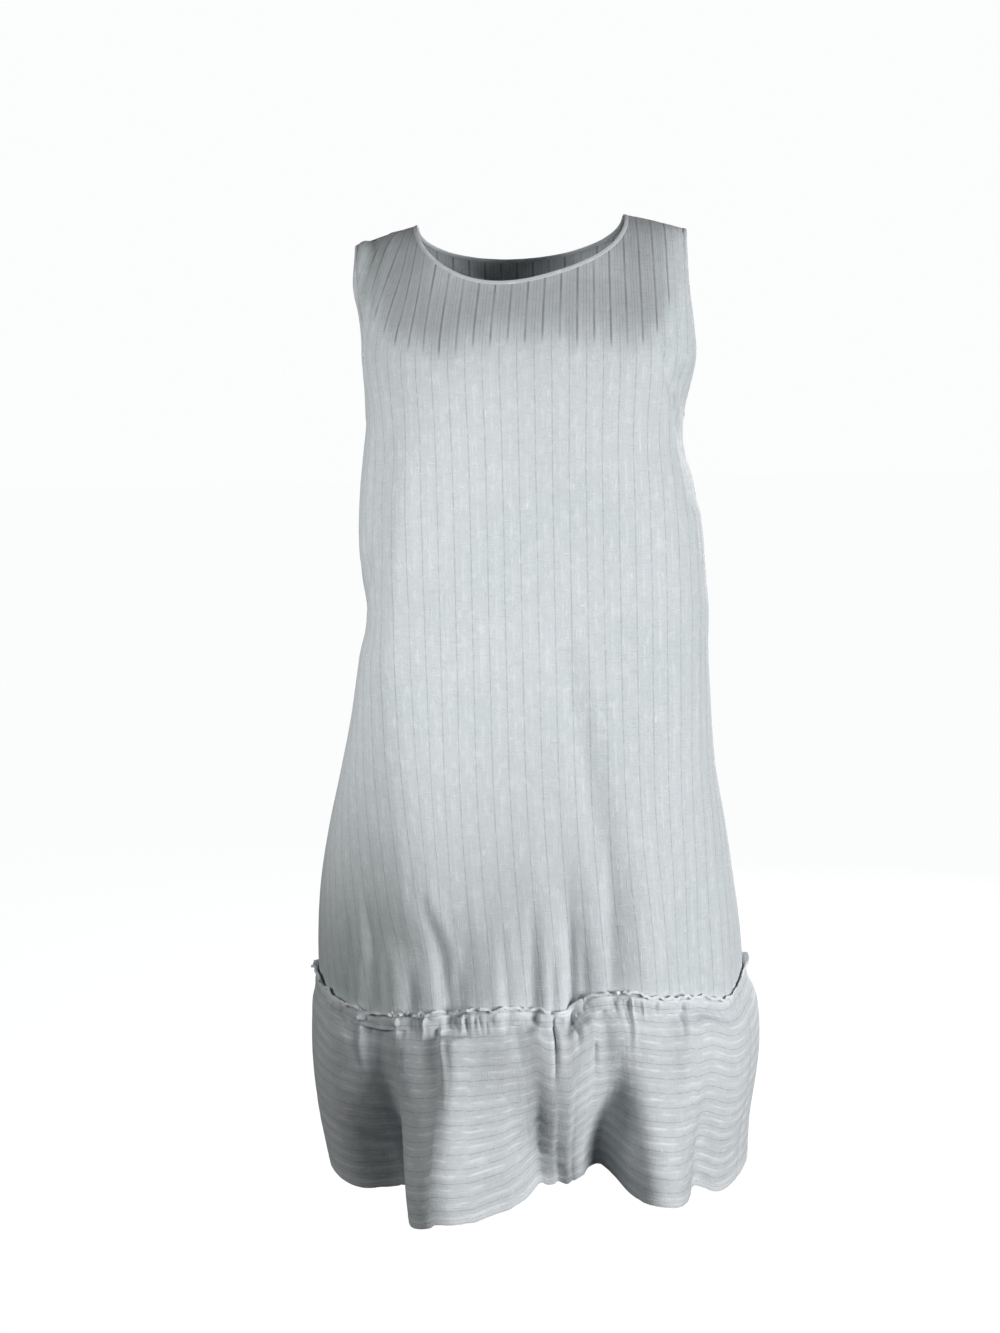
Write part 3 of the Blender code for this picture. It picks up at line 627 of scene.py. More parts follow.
def fold_push(tau, l):
    """How far the folds push the flounce out of its plain section."""
    X = unit(tau, FLOUNCE_SQUARE)[0]
    x = -0.0018 + 0.2048 * X
    out = 0
    for side in (-1, 1):
        here = (np.abs(tau) < 1) if side < 0 else (np.abs(tau) >= 1)
        for x0, half, deep, start, lean in FOLDS[side]:
            grow = ease((l - start) / (DROP - start)) ** 0.8
            at = x0 + lean * (1 - l / DROP)
            out = out + here * deep * grow * np.exp(-np.abs((x - at) / half) ** 2.2)
    return out * (1 - np.abs(X) ** 12)


def wrap(tau):
    return np.where(tau > 2, tau - 4, np.where(tau < -2, tau + 4, tau))


def stitch_line(tau):
    """Points of the stitches: on the outside of the body's cloth."""
    tau = wrap(np.asarray(tau, float))
    front = np.abs(tau) <= 1
    a = np.where(front, tau, np.where(tau > 0, 2 - tau, -2 - tau))
    z = join_z(tau)
    pf, nf = body(-1, a, run_at(-1, z))
    pb, nb = body(1, a, run_at(1, z))
    p, n = np.where(front[..., None], pf, pb), np.where(front[..., None], nf, nb)
    return p + n * (WALL + GAP), n


def small_folds(side, tau, u, l, hem):
    """Pinches, ridges and buckles of the flounce. u is the share of its hem."""
    x = -0.0018 + 0.2048 * unit(tau, FLOUNCE_SQUARE)[0]
    out = 0
    for x0, x1, l0, l1, half, deep in PINCHES[side]:
        along = np.clip((l - l0) / (l1 - l0), 0, 1)
        off = (x - x0 - (x1 - x0) * along) / (half * (0.8 + 0.5 * along))
        fade = ease((l - l0) / 0.005 + 0.3) * (1 - ease(along)) ** 0.8
        out = out + deep * fade * np.exp(-np.abs(off) ** 1.7)
    for x0, l0, run, half, slope, deep in BUCKLES[side]:
        off = x - x0
        y = l - l0 - slope * off
        out = out + deep * np.exp(-((off / run) ** 2) - (y / half) ** 2)
    low = ease(l / 0.05)
    out = out + 0.0007 * low * noise(51 + side, u * hem / 0.042, l / 0.070)
    out = out + 0.00034 * noise(61 + side, u * hem / 0.014, l / 0.026)
    return out + 0.00014 * noise(71 + side, u * hem / 0.007, l / 0.009)


def frill(side, u, hem, l):
    """The raw edge above the stitches: how far it stands out, and its height."""
    up = -l / HEAD
    x = u * hem
    wave = noise(81 + side, x / 0.0085) + 0.5 * noise(91 + side, x / 0.0040)
    curl = np.clip(up - 0.35, 0, 1) / 0.65
    free = ease((np.minimum(x, hem - x) - 0.006) / 0.040)  # flat and low by the side seams
    out = 0.0007 * up + (0.0020 * (wave + 0.8) * up**1.2 + 0.0020 * curl**1.5) * (0.15 + 0.85 * free)
    tall = 0.78 + 0.32 * noise(101 + side, x / 0.0080) + 0.14 * noise(103 + side, x / 0.0035)
    tall = np.where(free < 1, 0.45 + (tall - 0.45) * free, tall)
    high = -l * tall - 0.0012 * curl**2
    slide = 0.0026 * noise(111 + side, x / 0.0075) * up**1.3
    return out, high, slide


def level_out(tau):
    """Level outward direction of the body's plain section at the stitches."""
    front = np.abs(tau) <= 1
    a = np.where(front, tau, np.where(tau > 0, 2 - tau, -2 - tau))
    z = join_z(tau)
    sides = []
    for side in (-1, 1):
        n = side * normal_of(lambda p, q: plain_body(side, np.clip(p, -1, 1), q), a, run_at(side, z))
        n[..., 1] = np.where(np.abs(a) > 1 - 1e-6, 0, n[..., 1])
        sides.append(n)
    n = np.where(front[..., None], *sides)
    n[:, 2] = 0
    return n / np.linalg.norm(n, axis=-1, keepdims=True)


def flounce(tau, cloth, u, side=None, hem=0.79, gathers=GATHERS, deep=GATHER_DEEP, report=None):
    """Middle of the flounce's cloth: rows for tau, columns for metres of cloth below
    the stitches (negative above them). u is the cloth's own place along the hem."""
    tau = wrap(np.asarray(tau, float))
    start, _ = stitch_line(tau)
    out = level_out(tau)
    fine = np.linspace(0, DROP, 151)
    T, L = tau[:, None], fine[None, :]
    X, Y = unit(T, FLOUNCE_SQUARE)
    ls = column(FLOUNCE, 0)
    left, right, front, back = (smooth(ls, column(FLOUNCE, k), L) for k in range(1, 5))
    x = (left + right) / 2 + (right - left) / 2 * X
    y = -np.where(Y > 0, front, back) * Y
    on = ease(L / 0.030)
    x = start[:, :1] * (1 - on) + x * on
    y = start[:, 1:2] * (1 - on) + y * on
    push = fold_push(T, L)
    calm = push
    small = 0 * push
    if side is not None:
        end = np.minimum(u, 1 - u)[:, None] * hem
        small = small_folds(side, T, u[:, None], L, hem) * ease(end / 0.012 + 0.1)
        small = small + 0.0024 * ease(L / 0.007) * np.exp(-((L / 0.030) ** 2))
        small = small - 0.0010 * np.exp(-((end / 0.0035) ** 2))
        small = np.maximum(small, np.where(L < 0.012, 0.0005, -1) - push)  # off the body's edge
        drift = lean_of_folds(T, L)
        x, y = x + out[:, 1:2] * drift, y - out[:, :1] * drift
    if report is not None:
        report.append(np.stack([np.interp(np.asarray(cloth), fine, row) for row in small]))
    sx, sy = x + out[:, :1] * (calm + 0.3 * small), y + out[:, 1:2] * (calm + 0.3 * small)
    x, y = x + out[:, :1] * (push + small), y + out[:, 1:2] * (push + small)
    step = np.hypot(np.diff(sx, axis=1), np.diff(sy, axis=1))
    fall = np.sqrt(np.maximum(np.diff(fine) ** 2 - step**2, (0.25 * np.diff(fine)) ** 2))
    z = start[:, 2:] - np.concatenate([0 * x[:, :1], np.cumsum(fall, axis=1)], axis=1)
    grid = np.stack([x, y, z], -1)
    t = np.stack([-out[:, 1], out[:, 0], 0 * out[:, 0]], -1)
    points = []
    last = len(fine) - 1
    for l in cloth:
        if l < 0:
            stand, high, slide = frill(side, u, hem, l)
            p = start + out * (0.0006 + stand)[:, None] + t * slide[:, None]
            p[:, 2] = start[:, 2] + high
        else:
            k = min(int(l / DROP * last), last - 1)
            f = l / DROP * last - k
            p = grid[:, k] * (1 - f) + grid[:, k + 1] * f
        points.append(p)
    return np.stack(points, 1)


def lean_of_folds(tau, l):
    """How far the cloth shifts along the hem where a deep fold is laid over."""
    x = -0.0018 + 0.2048 * unit(tau, FLOUNCE_SQUARE)[0]
    out = 0
    for x0, half, shift, start in LAID_OVER:
        grow = ease((l - start) / (DROP - start))
        out = out + np.where(np.abs(tau) < 1, shift * grow * np.exp(-np.abs((x - x0) / half) ** 2.2), 0)
    return out


def flounce_columns(first, last, count):
    """tau of columns that take equal lengths of cloth along the hem, and the
    length of the hem."""
    tau = np.linspace(first, last, 1600)
    hem = flounce(tau, [DROP], 0 * tau)[:, 0]
    run = np.concatenate([[0], np.cumsum(np.linalg.norm(np.diff(hem, axis=0), axis=1))])
    share = np.linspace(0, 1, count + 1)
    return np.interp(share, run / run[-1], tau), share, run[-1]


# ---------------------------------------------------------------- normals of a grid


def grid_normals(p):
    du, dv = np.gradient(p, axis=0), np.gradient(p, axis=1)
    n = np.cross(du, dv)
    return n / np.linalg.norm(n, axis=-1, keepdims=True)


# ---------------------------------------------------------------- stripes of the cloth and the painted chest shade

PITCH = 0.01505  # the stripes' repeat
LINE, BAND = 0.0072, 0.0072 - 0.53 * 0.01505  # thin line and satin band in the repeat
FLOUNCE_LINE, FLOUNCE_PITCH = 0.0342, 0.0132  # the same repeat, taken up by the gathers


def stripe_place(side, u, v):
    """Metres across the stripes at a place of a panel. They run down the length, draw
    together towards the neck and lean a little near the hem."""
    u = u + outline(plain_body(side, 0 * v, v)[..., 2])[0]
    if side > 0:
        return u * (1 - 0.04 * ease((0.30 - v) / 0.12)) + 0.003
    rate = -0.10 + 1.1 * u - 6.0 * np.clip(-u - 0.09, 0, 0.025)
    above = 0.012 * np.logaddexp(0, (0.172 - v) / 0.012)
    lean = 0.0021 * np.logaddexp(0, (v - 0.61) / 0.03)
    lean = lean + 0.0018 * np.logaddexp(0, (v - 0.42) / 0.03) * ease((-u - 0.07) / 0.04)
    return (u + rate * above) * (1 - 0.05 * ease((0.30 - v) / 0.12)) - lean


def painted_chest_shade(side, u, v):
    """Painted shade: 0 where the cloth hangs free, up to 1 over the upper chest and
    the shoulders, where the cloth and its open stripes are painted dark."""
    wide = np.abs(u)
    edge = (0.172 if side < 0 else 0.16) - 12 * np.clip(wide - 0.09, 0, 1) ** 2
    edge = edge + 0.006 * noise(7, u / 0.008, 0) + 0.004 * noise(8, u / 0.035, 0)
    mask = ease((edge - v) / 0.052 + 0.5)
    neckline = 0.55 + 0.45 * ease((v - 0.085) / 0.055)
    neckline = np.where(wide > 0.07, neckline + (1 - neckline) * ease((wide - 0.07) / 0.03), neckline)
    arm = 1 - 0.75 * ease((wide - 0.126) / 0.026)
    return mask * neckline * arm


# ---------------------------------------------------------------- meshes

THIN = 0.0004  # half of the shown cloth's thickness


def solid(name, verts, faces, place_uv, marks=None):
    """A smooth mesh with its cloth coordinates as the UV map 'cloth' and a number at
    each point for every mark."""
    mesh = bpy.data.meshes.new(name)
    mesh.from_pydata(verts.tolist(), [], faces.tolist() if hasattr(faces, "tolist") else faces)
    mesh.shade_smooth()
    mesh.set_sharp_from_angle(angle=np.radians(55))
    corner = np.empty(len(mesh.loops), np.int32)
    mesh.loops.foreach_get("vertex_index", corner)
    layer = mesh.uv_layers.new(name="cloth")
    layer.data.foreach_set("uv", place_uv[corner].astype(np.float32).ravel())
    for key, values in (marks or {}).items():
        mark = mesh.attributes.new(key, "FLOAT", "POINT")
        mark.data.foreach_set("value", np.asarray(values, np.float32).ravel())
    thing = bpy.data.objects.new(name, mesh)
    bpy.context.scene.collection.objects.link(thing)
    return thing


def shell(name, points, normals, across, down, marks=None, half=THIN):
    """A thin closed shell round a grid of middle points."""
    nu, nv = points.shape[:2]
    half = np.broadcast_to(np.asarray(half, float), (nu, nv))[..., None]
    verts = np.concatenate([(points + normals * half).reshape(-1, 3), (points - normals * half).reshape(-1, 3)])
    flip = nu * nv
    i, j = np.meshgrid(np.arange(nu - 1), np.arange(nv - 1), indexing="ij")
    a = (i * nv + j).ravel()
    b, c, d = a + nv, a + nv + 1, a + 1
    front = np.stack([a, b, c, d], -1)
    back = np.stack([a, d, c, b], -1) + flip
    rim = [(k, 0) for k in range(nu)] + [(nu - 1, k) for k in range(1, nv)]
    rim += [(k, nv - 1) for k in range(nu - 2, -1, -1)] + [(0, k) for k in range(nv - 2, 0, -1)]
    ids = np.array([p * nv + q for p, q in rim])
    nxt = np.roll(ids, -1)
    edge = np.stack([nxt, ids, ids + flip, nxt + flip], -1)
    faces = np.concatenate([front, back, edge])
    tri = verts[front]
    turned = np.einsum("ij,ij->i", np.cross(tri[:, 1] - tri[:, 0], tri[:, 2] - tri[:, 0]), normals.reshape(-1, 3)[a])
    if np.median(turned) < 0:
        faces = faces[:, ::-1]
    uv = np.stack([across.ravel(), down.ravel()], -1)
    uv = np.concatenate([uv, uv])
    marks = {k: np.concatenate([m.ravel(), m.ravel()]) for k, m in (marks or {}).items()}
    return solid(name, verts, faces, uv, marks)


def bound_edge(name, loop, normals, centre, sides=12):
    """A narrow turned edge, a soft tube round a closed line of panel points."""
    t = np.roll(loop, -1, axis=0) - np.roll(loop, 1, axis=0)
    t /= np.linalg.norm(t, axis=-1, keepdims=True)
    n = normals - t * np.sum(normals * t, axis=-1, keepdims=True)
    n /= np.linalg.norm(n, axis=-1, keepdims=True)
    b = np.cross(t, n)
    b *= np.sign(np.sum(b * (centre - loop), axis=-1, keepdims=True))
    step = np.linalg.norm(np.roll(loop, -1, axis=0) - loop, axis=-1)
    run = np.concatenate([[0], np.cumsum(step)[:-1]])
    turn = 2 * np.pi * np.arange(sides) / sides
    c, s = np.cos(turn), np.sin(turn)
    soft = 1 + 0.06 * noise(121, run / 0.006)[:, None] * np.abs(s)
    wide, thick = EDGE_WIDE / 2 + 0.0002, EDGE_THICK / 2
    w = wide * np.sign(c) * np.abs(c) ** 0.75
    h = thick * np.sign(s) * np.abs(s) ** 0.75
    verts = (
        loop[:, None]
        + b[:, None] * (EDGE_WIDE / 2 + w)[None, :, None]
        + n[:, None] * (h[None, :] * soft)[..., None]
    )
    count = len(loop)
    i, j = np.meshgrid(np.arange(count), np.arange(sides), indexing="ij")
    p = (i * sides + j).ravel()
    q = (i * sides + (j + 1) % sides).ravel()
    r = ((i + 1) % count * sides + (j + 1) % sides).ravel()
    o = ((i + 1) % count * sides + j).ravel()
    faces = np.stack([p, q, r, o], -1)
    corners = verts.reshape(-1, 3)
    facing = np.cross(corners[q] - corners[p], corners[o] - corners[p])
    outward = corners[p] - np.repeat(loop + b * EDGE_WIDE / 2, sides, axis=0)
    if np.median(np.einsum("ij,ij->i", facing, outward)) < 0:
        faces = faces[:, ::-1]
    uv = np.stack(np.broadcast_arrays((w * 1.0)[None, :], run[:, None]), -1).reshape(-1, 2)
    return solid(name, corners, faces, uv)


# ---------------------------------------------------------------- materials


class Cloth:
    """Builds one node-based material."""

    def __init__(self, name):
        self.material = bpy.data.materials.new(name)
        self.material.use_nodes = True
        self.tree = self.material.node_tree
        self.shader = self.tree.nodes["Principled BSDF"]
        place = self.add("ShaderNodeUVMap")
        place.uv_map = "cloth"
        parts = self.add("ShaderNodeSeparateXYZ", place.outputs[0])
        self.s, self.t = parts.outputs[0], parts.outputs[1]

    def add(self, kind, *values, **settings):
        node = self.tree.nodes.new(kind)
        for key, value in settings.items():
            setattr(node, key, value)
        for k, value in enumerate(values):
            self.put(node.inputs[k], value)
        return node

    def put(self, socket, value):
        if isinstance(value, bpy.types.NodeSocket):
            self.tree.links.new(value, socket)
        elif value is not None:
            socket.default_value = value

    def math(self, operation, a, b=0.0):
        return self.add("ShaderNodeMath", a, b, operation=operation).outputs[0]

    def step(self, value, low, high, start=0.0, end=1.0):
        node = self.add("ShaderNodeMapRange", value, low, high, start, end, interpolation_type="SMOOTHSTEP")
        return node.outputs[0]

    def grain(self, across, down, detail=0.0, shift=0.0):
        """Noise from 0 to 1, across and down cells to the metre."""
        place = self.add(
            "ShaderNodeCombineXYZ", self.math("MULTIPLY", self.s, across), self.math("MULTIPLY", self.t, down), shift
        )
        node = self.add("ShaderNodeTexNoise", noise_dimensions="3D")
        self.put(node.inputs["Vector"], place.outputs[0])
        self.put(node.inputs["Scale"], 1.0)
        self.put(node.inputs["Detail"], detail)
        return node.outputs[0]

    def blend(self, share, a, b):
        node = self.add("ShaderNodeMix", data_type="RGBA")
        self.put(node.inputs[0], share)
        self.put(node.inputs[6], a)
        self.put(node.inputs[7], b)
        return node.outputs[2]

    def mark(self, name):
        return self.add("ShaderNodeAttribute", attribute_name=name, attribute_type="GEOMETRY").outputs["Fac"]


def linen(name, satin, line, hem=False):
    """Pale linen with a thin grey line and a satin, open band in each repeat. The band and a strip
    beside it are painted whiter: partly their whiter yarn, partly painted sheen.
    """
    g = Cloth(name)
    wander = g.math("MULTIPLY", g.math("SUBTRACT", g.grain(14, 9), 0.5), 0.0007)
    s = g.math("ADD", g.s, wander)
    repeat = g.math("FRACT", g.math("ADD", g.math("MULTIPLY", s, 1 / PITCH), 0.3))

    def near(at, half, soft):
        off = g.math("MULTIPLY", g.math("ABSOLUTE", g.math("SUBTRACT", repeat, at)), PITCH)
        return g.step(off, half, half + soft, 1.0, 0.0)

    at_line = (LINE / PITCH + 0.3) % 1
    at_band = (BAND / PITCH + 0.3) % 1
    broken = g.step(g.grain(40, 150), 0.36, 0.56)
    thin = g.math("MULTIPLY", near(at_line, 0.00034, 0.00040), g.math("ADD", g.math("MULTIPLY", broken, 0.5), 0.5))
    band = near(at_band, 0.00070 + 0.0002 * hem, 0.00050 + 0.0001 * hem)
    beside = near((at_band + 0.115) % 1, 0.0016, 0.0014)
    faint = g.math("MAXIMUM", near((at_line + 0.20) % 1, 0.00012, 0.0003), near((at_line - 0.17) % 1, 0.00012, 0.0003))
    dash = g.step(g.grain(66, 46, shift=3.1), 0.42, 0.62)
    long_dash = g.step(g.grain(130, 24, shift=5.2), 0.44, 0.66)
    warp = g.step(g.grain(900, 60, shift=9.0), 0.66, 0.76)
    weft = g.step(g.grain(75, 1000, shift=13.0), 0.665, 0.755)
    speck = g.step(g.grain(620, 620, shift=17.0), 0.66, 0.80)
    fine = g.grain(1300, 1300, 1.0, shift=21.0)
    cloud = g.grain(9, 7, 2.0, shift=25.0)

    pale, cool, white = (0.70, 0.745, 0.765, 1), (0.655, 0.718, 0.728, 1), (0.92, 0.945, 0.955, 1)
    if hem:
        pale, cool = (0.712, 0.745, 0.770, 1), (0.675, 0.716, 0.738, 1)
    grey, slate = (0.40, 0.43, 0.455, 1), (0.245, 0.255, 0.27, 1)
    colour = g.blend(g.step(cloud, 0.35, 0.65), pale, cool)
    colour = g.blend(g.math("MULTIPLY", g.step(g.grain(170, 70, 2.0, 45.0), 0.50, 0.72), 0.30), colour, white)
    colour = g.blend(g.math("MULTIPLY", g.step(g.grain(90, 200, 2.0, 49.0), 0.52, 0.74), 0.12), colour, grey)
    colour = g.blend(g.math("MULTIPLY", g.math("SUBTRACT", 1.0, fine), 0.16), colour, grey)
    # white dashes beside the satin band: partly whiter yarn, partly painted sheen
    colour = g.blend(g.math("MULTIPLY", g.math("MULTIPLY", beside, long_dash), 0.34 * satin), colour, white)
    colour = g.blend(g.math("MULTIPLY", g.math("MAXIMUM", g.math("MAXIMUM", warp, weft), speck), 0.42), colour, white)
    colour = g.blend(g.math("MULTIPLY", thin, line), colour, grey)
    # the satin band painted whiter: partly its whiter yarn, partly painted sheen
    band_white_and_sheen = g.math("MULTIPLY", band, g.math("ADD", g.math("MULTIPLY", dash, 0.60 * satin), 0.08 * satin))
    colour = g.blend(band_white_and_sheen, colour, white)
    height = g.math("ADD", g.math("MULTIPLY", fine, 0.45), g.math("MULTIPLY", g.grain(240, 240, 1.0, 29.0), 0.45))
    height = g.math("ADD", height, g.math("MULTIPLY", g.math("MAXIMUM", warp, weft), 0.45))
    height = g.math("ADD", height, g.math("MULTIPLY", g.grain(420, 26, 1.0, 33.0), 0.55))
    if not hem:
        # painted shade over the upper chest and the shoulders: the cloth, its satin bands and its faint lines are
        # darkened there
        chest_shade = g.mark("chest_shade")
        shade_mottle = g.math("ADD", g.math("MULTIPLY", g.grain(22, 16, 2.0, 41.0), 0.7), 0.62)
        shade = g.math("MULTIPLY", g.math("MULTIPLY", chest_shade, 0.52), shade_mottle)
        colour = g.blend(shade, colour, (0.27, 0.27, 0.285, 1))
        uneven = g.math("ADD", g.math("MULTIPLY", g.grain(60, 30, shift=37.0), 0.9), 0.25)
        dark = g.math("MULTIPLY", g.math("MULTIPLY", band, g.step(chest_shade, 0.12, 0.55)), g.math("MINIMUM", uneven, 0.86))
        colour = g.blend(dark, colour, slate)
        colour = g.blend(g.math("MULTIPLY", g.math("MULTIPLY", faint, chest_shade), 0.40), colour, slate)
    else:
        edge = g.mark("hem")  # metres above the hem's edge
        turned = g.step(edge, HEM_TURN - 0.0003, HEM_TURN + 0.0003, 1.0, 0.0)
        colour = g.blend(g.math("MULTIPLY", turned, 0.30), colour, white)
        seam = g.step(g.math("ABSOLUTE", g.math("SUBTRACT", edge, HEM_TURN - 0.0010)), 0.0002, 0.00045, 1.0, 0.0)
        stitch = g.math("FRACT", g.math("MULTIPLY", g.t, 1 / 0.0030))
        stitch = g.step(g.math("ABSOLUTE", g.math("SUBTRACT", stitch, 0.5)), 0.30, 0.40, 1.0, 0.0)
        thread = g.math("MULTIPLY", seam, stitch)
        colour = g.blend(g.math("MULTIPLY", seam, 0.45), colour, grey)
        colour = g.blend(g.math("MULTIPLY", thread, 0.8), colour, white)
        height = g.math("SUBTRACT", height, g.math("MULTIPLY", seam, 0.9))
        raw = g.mark("raw")  # 0 on the cloth to 1 at the raw edge above the stitches
        # painted shade in the flounce's inward pinches, darker where they lie deeper
        colour = g.blend(g.math("MULTIPLY", g.mark("fold_shade"), 0.35), colour, grey)
        colour = g.blend(g.math("MULTIPLY", raw, 0.80), colour, white)
    g.put(g.shader.inputs["Base Color"], colour)
    rough = g.math("SUBTRACT", 0.86, g.math("MULTIPLY", g.math("MULTIPLY", band, dash), 0.30))
    g.put(g.shader.inputs["Roughness"], rough)
    bump = g.add("ShaderNodeBump")
    g.put(bump.inputs["Strength"], 0.75)
    g.put(bump.inputs["Distance"], 0.00055)
    g.put(bump.inputs["Height"], height)
    g.put(g.shader.inputs["Normal"], bump.outputs[0])
    g.shader.inputs["Metallic"].default_value = 0.0
    g.shader.inputs["Specular IOR Level"].default_value = 0.28
    g.shader.inputs["Sheen Weight"].default_value = 0.16
    g.shader.inputs["Sheen Roughness"].default_value = 0.45
    return g.material


def edging(name):
    """The turned self-fabric edge with its fine stitches."""
    g = Cloth(name)
    fine = g.grain(1300, 1300, 1.0)
    ribs = g.grain(500, 900, 1.0, 3.0)
    slub = g.step(g.grain(500, 90, shift=7.0), 0.60, 0.74)
    colour = g.blend(g.math("MULTIPLY", g.math("SUBTRACT", 1.0, fine), 0.22), (0.68, 0.715, 0.73, 1), (0.42, 0.45, 0.47, 1))
    colour = g.blend(g.math("MULTIPLY", slub, 0.5), colour, (0.93, 0.945, 0.95, 1))
    near = g.step(g.math("ABSOLUTE", g.math("ADD", g.s, 0.0009)), 0.00015, 0.0004, 1.0, 0.0)
    stitch = g.math("FRACT", g.math("MULTIPLY", g.t, 1 / 0.0026))
    hole = g.step(g.math("ABSOLUTE", g.math("SUBTRACT", stitch, 0.5)), 0.32, 0.42)
    colour = g.blend(g.math("MULTIPLY", g.math("MULTIPLY", near, hole), 0.6), colour, (0.40, 0.42, 0.44, 1))
    g.put(g.shader.inputs["Base Color"], colour)
    g.shader.inputs["Roughness"].default_value = 0.82
    height = g.math("ADD", g.math("MULTIPLY", fine, 0.5), g.math("MULTIPLY", ribs, 0.6))
    height = g.math("SUBTRACT", height, g.math("MULTIPLY", g.math("MULTIPLY", near, hole), 0.8))
    bump = g.add("ShaderNodeBump")
    g.put(bump.inputs["Strength"], 0.7)
    g.put(bump.inputs["Distance"], 0.0004)
    g.put(bump.inputs["Height"], height)
    g.put(g.shader.inputs["Normal"], bump.outputs[0])
    g.shader.inputs["Specular IOR Level"].default_value = 0.28
    g.shader.inputs["Sheen Weight"].default_value = 0.16
    g.shader.inputs["Sheen Roughness"].default_value = 0.45
    return g.material


# ---------------------------------------------------------------- the dress

LENGTHWISE = linen("linen_lengthwise", satin=0.30, line=0.56)
CROSSWISE = linen("linen_crosswise", satin=1.0, line=0.62, hem=True)
EDGING = edging("edge_binding")


def wear(piece, material, node):
    piece.data.materials.append(material)
    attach(piece, "root")
    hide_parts(node)


PANELS = []
for side, name, counts, flat, area in (
    (-1, "front_panel", (32, 12, 112, 236), (0.600, 0.770), 0.335),
    (1, "back_panel", (30, 11, 100, 220), (0.582, 0.770), 0.329),
):
    a, v = panel(side, *counts)
    p, n = body(side, a, v)
    u = place(side, a, v)
    # each panel carries its painted shade over the upper chest and the shoulders as a mark
    cloth = shell("cloth_" + name, p, n, stripe_place(side, u, v), v, {"chest_shade": painted_chest_shade(side, u, v)})
    wear(cloth, LENGTHWISE, name)
    PANELS.append((cloth, flat, area))

edge_front, edge_back = neck_edge(-1, 150), neck_edge(1, 140)
pf, nf = body(-1, *edge_front.T)
pb, nb = body(1, *edge_back.T)
loop, around = np.concatenate([pf, pb[::-1][1:-1]]), np.concatenate([nf, nb[::-1][1:-1]])
loop[[0, len(pf) - 1], 1] = 0
piece = bound_edge("cloth_neck_binding", loop, around, np.array([0, 0.0, -0.02]))
wear(piece, EDGING, "neck_binding")
for hand, name in ((-1, "armhole_binding_left"), (1, "armhole_binding_right")):
    pf, nf = body(-1, *arm_edge(-1, hand, 90).T)
    pb, nb = body(1, *arm_edge(1, hand, 90).T)
    loop, around = np.concatenate([pf, pb[::-1][1:-1]]), np.concatenate([nf, nb[::-1][1:-1]])
    loop[[0, len(pf) - 1], 1] = 0
    piece = bound_edge("cloth_" + name, loop, around, np.array([hand * 0.155, 0.0, (PIT_Z - 0.02) / 2]))
    wear(piece, EDGING, name)

# the two panels carry each other at the shoulder seams, and the bindings are sewn to them
(front, flat, area), (back, back_flat, back_area) = PANELS

# rows of the flounce: the frilled raw edge, the gathers, the fall and the turned hem
ROWS_DOWN = np.concatenate(
    [
        np.linspace(-HEAD, -0.0008, 7),
        np.linspace(0, 0.030, 22),
        np.linspace(0.030, DROP - HEM_TURN - 0.001, 74)[1:],
        DROP - HEM_TURN + np.array([-0.0004, 0.0002, 0.0008]),
        np.linspace(DROP - HEM_TURN + 0.0020, DROP, 5),
    ]
)
for side, name, first, last, flat in (
    (-1, "front_flounce", SEAM_LEFT, SEAM_RIGHT, (0.76, 0.2005)),
    (1, "back_flounce", SEAM_RIGHT, SEAM_LEFT + 4, (0.88, 0.2005)),
):
    shrink = GAP / 8 / 0.16  # the side seams show no slit
    tau, share, hem = flounce_columns(first + shrink, last - shrink, 420)
    folded = []
    p = flounce(tau, ROWS_DOWN, share, side, hem, report=folded)
    n = -grid_normals(p)
    l = np.broadcast_to(ROWS_DOWN[None, :], p.shape[:2])
    across = (l - FLOUNCE_LINE) * PITCH / FLOUNCE_PITCH + LINE
    above = DROP - l
    half = THIN + 0.00035 * (above < HEM_TURN) + 0.0009 * np.clip(-l / HEAD - 0.5, 0, 0.5) / 0.5
    # painted shade: 0 to 1 as a point lies deeper in an inward pinch of the flounce
    fold_shade = np.where(l < 0, 0, np.clip(-folded[0] / 0.0035, 0, 1))
    marks = {"hem": above, "raw": np.clip(-l / HEAD, 0, 1) ** 1.5, "fold_shade": fold_shade}
    cloth = shell("cloth_" + name, p, n, across, share[:, None] * hem + 0 * l, marks, half)
    wear(cloth, CROSSWISE, name)

# ---------------------------------------------------------------- studio


def emitting(name, colour, strength, diffuse):
    made = bpy.data.materials.new(name)
    made.use_nodes = True
    shader = made.node_tree.nodes["Principled BSDF"]
    shader.inputs["Base Color"].default_value = (*diffuse, 1)
    shader.inputs["Roughness"].default_value = 0.9
    shader.inputs["Emission Color"].default_value = (*colour, 1)
    shader.inputs["Emission Strength"].default_value = strength
    return made


size = 30.0
floor_mesh = bpy.data.meshes.new("floor")
floor_mesh.from_pydata([(-size, -size, -1.4), (size, -size, -1.4), (size, size, -1.4), (-size, size, -1.4)], [], [(0, 1, 2, 3)])
floor = bpy.data.objects.new("floor", floor_mesh)
bpy.context.scene.collection.objects.link(floor)
floor.data.materials.append(emitting("pale_floor", (0.975, 0.98, 0.985), 0.99, (0.012, 0.012, 0.012)))
floor.visible_diffuse = False
floor.visible_glossy = False
floor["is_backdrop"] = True

world = bpy.data.worlds.new("studio")
bpy.context.scene.world = world
world.use_nodes = True
nodes, links = world.node_tree.nodes, world.node_tree.links
nodes.clear()
seen = nodes.new("ShaderNodeBackground")
seen.inputs[0].default_value = (0.975, 0.98, 0.985, 1)
seen.inputs[1].default_value = 1.0
soft = nodes.new("ShaderNodeBackground")
soft.inputs[0].default_value = (0.93, 0.97, 1.0, 1)
soft.inputs[1].default_value = 0.035
kind = nodes.new("ShaderNodeLightPath")
mix = nodes.new("ShaderNodeMixShader")
